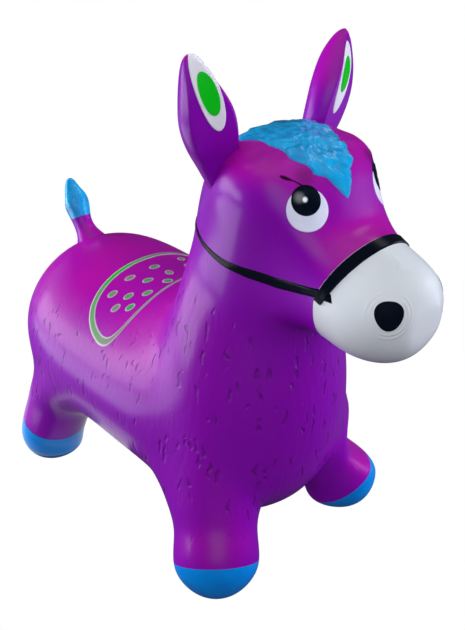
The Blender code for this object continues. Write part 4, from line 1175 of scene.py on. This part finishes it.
for hand, side in SIDES.items():
    ear, base, axis, facing, length = draw_ear(hand)
    ear_tree = tree_of(ear)
    white_share, green_share, green_length = EAR_LININGS[hand]
    middle = base + facing.cross(axis) * hand * EAR_LINING_SHIFT
    # Each oval's upper end leans towards the ear's outer edge
    turn = -hand * EAR_OVAL_TURN
    oval = oval_outline(EAR_WHITE_SIZE[0] / 2, EAR_WHITE_SIZE[1] / 2, turn)
    place = middle + axis * length * white_share
    ear_white = lay_patch(f"ear_{side}_white_lining", oval, place, facing, 0.9 * MM, ear_tree, 14)
    finish(ear_white, "ear_white", "white_skin", f"ear_white_{side}", body=f"ear_{side}")
    oval = oval_outline(EAR_GREEN_WIDTH / 2, green_length / 2, turn)
    place = middle + axis * length * green_share
    ear_green = lay_patch(f"ear_{side}_green_lining", oval, place, facing, 1.3 * MM, ear_tree, 12)
    finish(ear_green, "ear_green", "green_paint", f"ear_green_{side}", body=f"ear_{side}")
    finish(ear, "purple", "purple_skin", f"ear_skin_{side}")
    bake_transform(ear, "neck_head", f"ear_{side}", base + axis * 4 * MM, base + axis * 26 * MM)


# Tail
# Shares of the length: place, half width, half depth, and a shift forwards
TAIL_RINGS = (
    (-0.10, 0.300, 0.300, 0.0), (0.04, 0.215, 0.215, 0.0), (0.14, 0.170, 0.165, -0.05),
    (0.26, 0.155, 0.150, -0.08), (0.37, 0.165, 0.155, -0.08), (0.50, 0.200, 0.175, -0.07),
    (0.60, 0.205, 0.180, -0.05), (0.70, 0.180, 0.160, -0.03), (0.76, 0.150, 0.135, -0.03),
    (0.84, 0.125, 0.115, -0.04), (0.92, 0.095, 0.085, -0.03), (0.98, 0.050, 0.045, 0.0),
)
TAIL_LINE = 0.38
TAIL_SIDES = 12


def draw_tail():
    """A stub with a flared root, and a leaf-like tuft at its end."""
    axis = Vector((math.sin(TAIL_LEAN), 0, math.cos(TAIL_LEAN)))
    forward = Vector((math.cos(TAIL_LEAN), 0, -math.sin(TAIL_LEAN)))
    tail, mesh = start_ring("tail_stub_skin", TAIL_SIDES)
    turns = mesh.verts.layers.float.new("turn")
    for vertex in mesh.verts:
        vertex[turns] = math.atan2(vertex.co.y, vertex.co.x)
    for index, (along, half_width, half_depth, shift) in enumerate(TAIL_RINGS):
        if index:
            mesh = draw_out(tail)
        turns = mesh.verts.layers.float["turn"]
        for vertex in chosen(mesh)[0]:
            turn = vertex[turns]
            depth = forward * (math.cos(turn) * half_depth + shift) * TAIL_LENGTH
            width = Vector((0, math.sin(turn) * half_width * TAIL_LENGTH, 0))
            vertex.co = TAIL_ROOT + axis * TAIL_LENGTH * along + depth + width
    close_at(tail, TAIL_ROOT + axis * TAIL_LENGTH)
    turn_outwards(tail)
    smooth(tail, 3)
    outward = [vertex.normal.copy() for vertex in tail.data.vertices]
    for vertex, normal in zip(tail.data.vertices, outward):
        height = (vertex.co - TAIL_ROOT).dot(axis) / TAIL_LENGTH
        swell = max(0.0, min(1.0, (height - 0.42) / 0.12))
        lump = noise.noise(vertex.co * 62 + Vector((0.3, 1.7, 0.1)))
        vertex.co += normal * lump * swell * 1.3 * MM
    return tail, axis


tail_skin, tail_axis = draw_tail()
tail_line_point = TAIL_ROOT + tail_axis * TAIL_LENGTH * TAIL_LINE
cut_line(tail_skin, tail_line_point, tail_axis, lambda middle: True)
tail_tuft = part_off(tail_skin, "tail_tuft_skin", beyond(tail_line_point, tail_axis))
finish(tail_skin, "purple", "purple_skin", "tail_root")
finish(tail_tuft, "hair", "blue_skin", "tail_tip", body="tail")
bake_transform(tail_skin, "torso", "tail", TAIL_ROOT + tail_axis * 4 * MM, TAIL_ROOT + tail_axis * 22 * MM)


# Valve under the belly: profiles of radius and height in millimetres
SEAT_PROFILE = (
    (3.2, 0.3), (3.5, 0.0), (8.4, 0.0), (9.0, 0.5), (9.0, 1.4), (8.6, 1.6), (5.6, 1.7), (5.6, 12.4),
    (3.2, 12.4), (3.2, 0.3),
)
PLUG_PROFILE = (
    (1.2, 0.6), (3.4, 0.6), (3.8, 0.0), (5.6, 0.0), (6.5, 0.5), (6.5, 1.7), (6.1, 2.0), (2.9, 2.0),
    (2.9, 10.2), (2.4, 11.8), (1.2, 12.0),
)
VALVE_SIDES = 48


def turned_ring(name, profile, place):
    """A turned piece: its profile is drawn round the vertical."""
    piece, mesh = start_ring(name, VALVE_SIDES)
    bmesh.ops.translate(mesh, vec=place, verts=mesh.verts)
    for index, (radius, height) in enumerate(profile):
        if index:
            mesh = draw_out(piece)
        for vertex in chosen(mesh)[0]:
            flat = Vector((vertex.co.x - place.x, vertex.co.y - place.y, 0)).normalized()
            vertex.co = place + (flat * radius + UP * height) * MM
    if profile[0] == profile[-1]:
        bpy.ops.mesh.select_all(action="SELECT")
        bpy.ops.mesh.remove_doubles(threshold=0.005 * MM)
    else:
        bpy.ops.mesh.select_all(action="DESELECT")
        bpy.ops.mesh.select_non_manifold()
        bpy.ops.mesh.edge_face_add()
    turn_outwards(piece)
    return piece


seat_low, seat_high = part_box("valve_seat")
valve_place = Vector(((seat_low[0] + seat_high[0]) / 2, 0, seat_low[2]))
seat_ring = turned_ring("valve_seat_ring", SEAT_PROFILE, valve_place)
finish(seat_ring, "valve", "valve_plastic", "valve_seat", body="torso")
plug_place = Vector((valve_place.x, 0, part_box("valve_plug")[0][2]))
plug_body = turned_ring("valve_plug_body", PLUG_PROFILE, plug_place)
finish(plug_body, "valve", "valve_plastic", "valve_plug", body="valve_plug")


# Stage, lights and camera
rest()
bpy.ops.mesh.primitive_plane_add(size=14, location=(0, 0, 0))
floor = bpy.context.object
floor.name = "studio_floor"
floor_paint = Paint("studio_floor_white", (1, 1, 1), 1.0)
seen = floor_paint.node("LightPath", output="Is Camera Ray")
floor_paint.colour(floor_paint.mix(seen, (0.07, 0.05, 0.08), (0, 0, 0)))
floor_glow = floor_paint.mix(seen, (0, 0, 0), (1, 1, 1))
floor_paint.tree.links.new(floor_glow.socket, floor_paint.shader.inputs["Emission Color"])
floor_paint.shader.inputs["Emission Strength"].default_value = 1.0
floor_paint.shader.inputs["Specular IOR Level"].default_value = 0.0
floor.data.materials.append(floor_paint.material)


# Of each light: name, place, target, size and power. Panels light the toy, and cards show only as reflections
PANELS = (
    ("left_wall_panel", (-1.55, -0.75, 0.42), (0.0, -0.05, 0.2), (1.7, 0.9), 72),
    ("far_side_panel", (0.80, 1.40, 0.25), (0.10, 0.05, 0.15), (0.9, 1.0), 46),
    ("top_panel", (0.1, 0.0, 1.9), (0, 0, 0.25), (1.8, 1.8), 18),
    ("front_panel", (1.5, -1.1, 1.1), (0.1, 0, 0.2), (1.4, 1.4), 26),
)
CARDS = (
    ("left_wall_card", (-1.45, -1.15, 0.30), (-0.10, -0.10, 0.20), (1.2, 0.7), 7),
    ("neck_card", (-0.62, -1.30, 0.22), (0.0, -0.05, 0.25), (0.45, 0.40), 2.2),
    ("left_floor_card", (-0.58, -0.56, 0.015), (-0.58, -0.56, 1.0), (0.80, 0.52), 2.9),
    ("belly_floor_card", (-0.22, -0.06, 0.012), (-0.22, -0.06, 1.0), (0.26, 0.22), 0.15),
    ("far_floor_card", (0.75, 1.15, 0.015), (0.75, 1.15, 1.0), (0.5, 0.9), 1.6),
    ("far_high_card", (0.10, 0.95, 1.35), (0.12, 0.0, 0.40), (0.35, 0.35), 0.5),
    ("top_card", (0.1, 0.0, 1.9), (0, 0, 0.25), (1.8, 1.8), 2),
)
FAR_SIDE_TINT = (0.90, 0.92, 1.0)
WORLD_GLOW = 0.03
WORLD_FILL = 0.15


def add_area(name, place, target, size, power):
    """A soft rectangle of light that looks at a target."""
    light = bpy.data.lights.new(name, "AREA")
    light.shape = "RECTANGLE"
    light.size, light.size_y = size
    light.energy = power
    panel = bpy.data.objects.new(name, light)
    scene.collection.objects.link(panel)
    panel.location = place
    panel.rotation_euler = (Vector(target) - Vector(place)).to_track_quat("-Z", "Y").to_euler()
    return panel


scene = bpy.context.scene
for row in PANELS:
    add_area(*row).visible_glossy = False
bpy.data.lights["far_side_panel"].color = FAR_SIDE_TINT
for row in CARDS:
    card = add_area(*row)
    card.visible_diffuse = False
    card.visible_camera = False

# The world: white where the camera sees it, WORLD_GLOW elsewhere, and WORLD_FILL more for diffuse light
world = bpy.data.worlds.new("studio_world")
world.use_nodes = True
scene.world = world
nodes, links = world.node_tree.nodes, world.node_tree.links
background = nodes["Background"]
light_path = nodes.new("ShaderNodeLightPath")
level = nodes.new("ShaderNodeMapRange")
level.inputs["To Min"].default_value = WORLD_GLOW
level.inputs["To Max"].default_value = 1.0
links.new(light_path.outputs["Is Camera Ray"], level.inputs["Value"])
fill_level = nodes.new("ShaderNodeMath")
fill_level.operation = "MULTIPLY_ADD"
fill_level.inputs[1].default_value = WORLD_FILL
links.new(light_path.outputs["Is Diffuse Ray"], fill_level.inputs[0])
links.new(level.outputs["Result"], fill_level.inputs[2])
background.inputs["Color"].default_value = (1, 1, 1, 1)
links.new(fill_level.outputs["Value"], background.inputs["Strength"])
scene.view_settings.view_transform = "Standard"

# The camera of the photograph: its place, and its focal length and the picture's height in pixels
CAMERA_PLACE = (0.52519, -0.45976, 0.603)
CAMERA_PITCH = math.radians(61.3)
CAMERA_TURN = math.radians(46.9)
FOCAL_PIXELS = 775
PHOTO_PIXELS_HIGH = 630
SENSOR_WIDTH = 36
camera_data = bpy.data.cameras.new("camera")
camera = bpy.data.objects.new("camera", camera_data)
scene.collection.objects.link(camera)
camera.location = CAMERA_PLACE
camera.rotation_euler = (CAMERA_PITCH, 0, CAMERA_TURN)
camera_data.sensor_width = SENSOR_WIDTH
camera_data.lens = SENSOR_WIDTH * FOCAL_PIXELS / PHOTO_PIXELS_HIGH
camera_data.clip_start = 0.01
scene.camera = camera
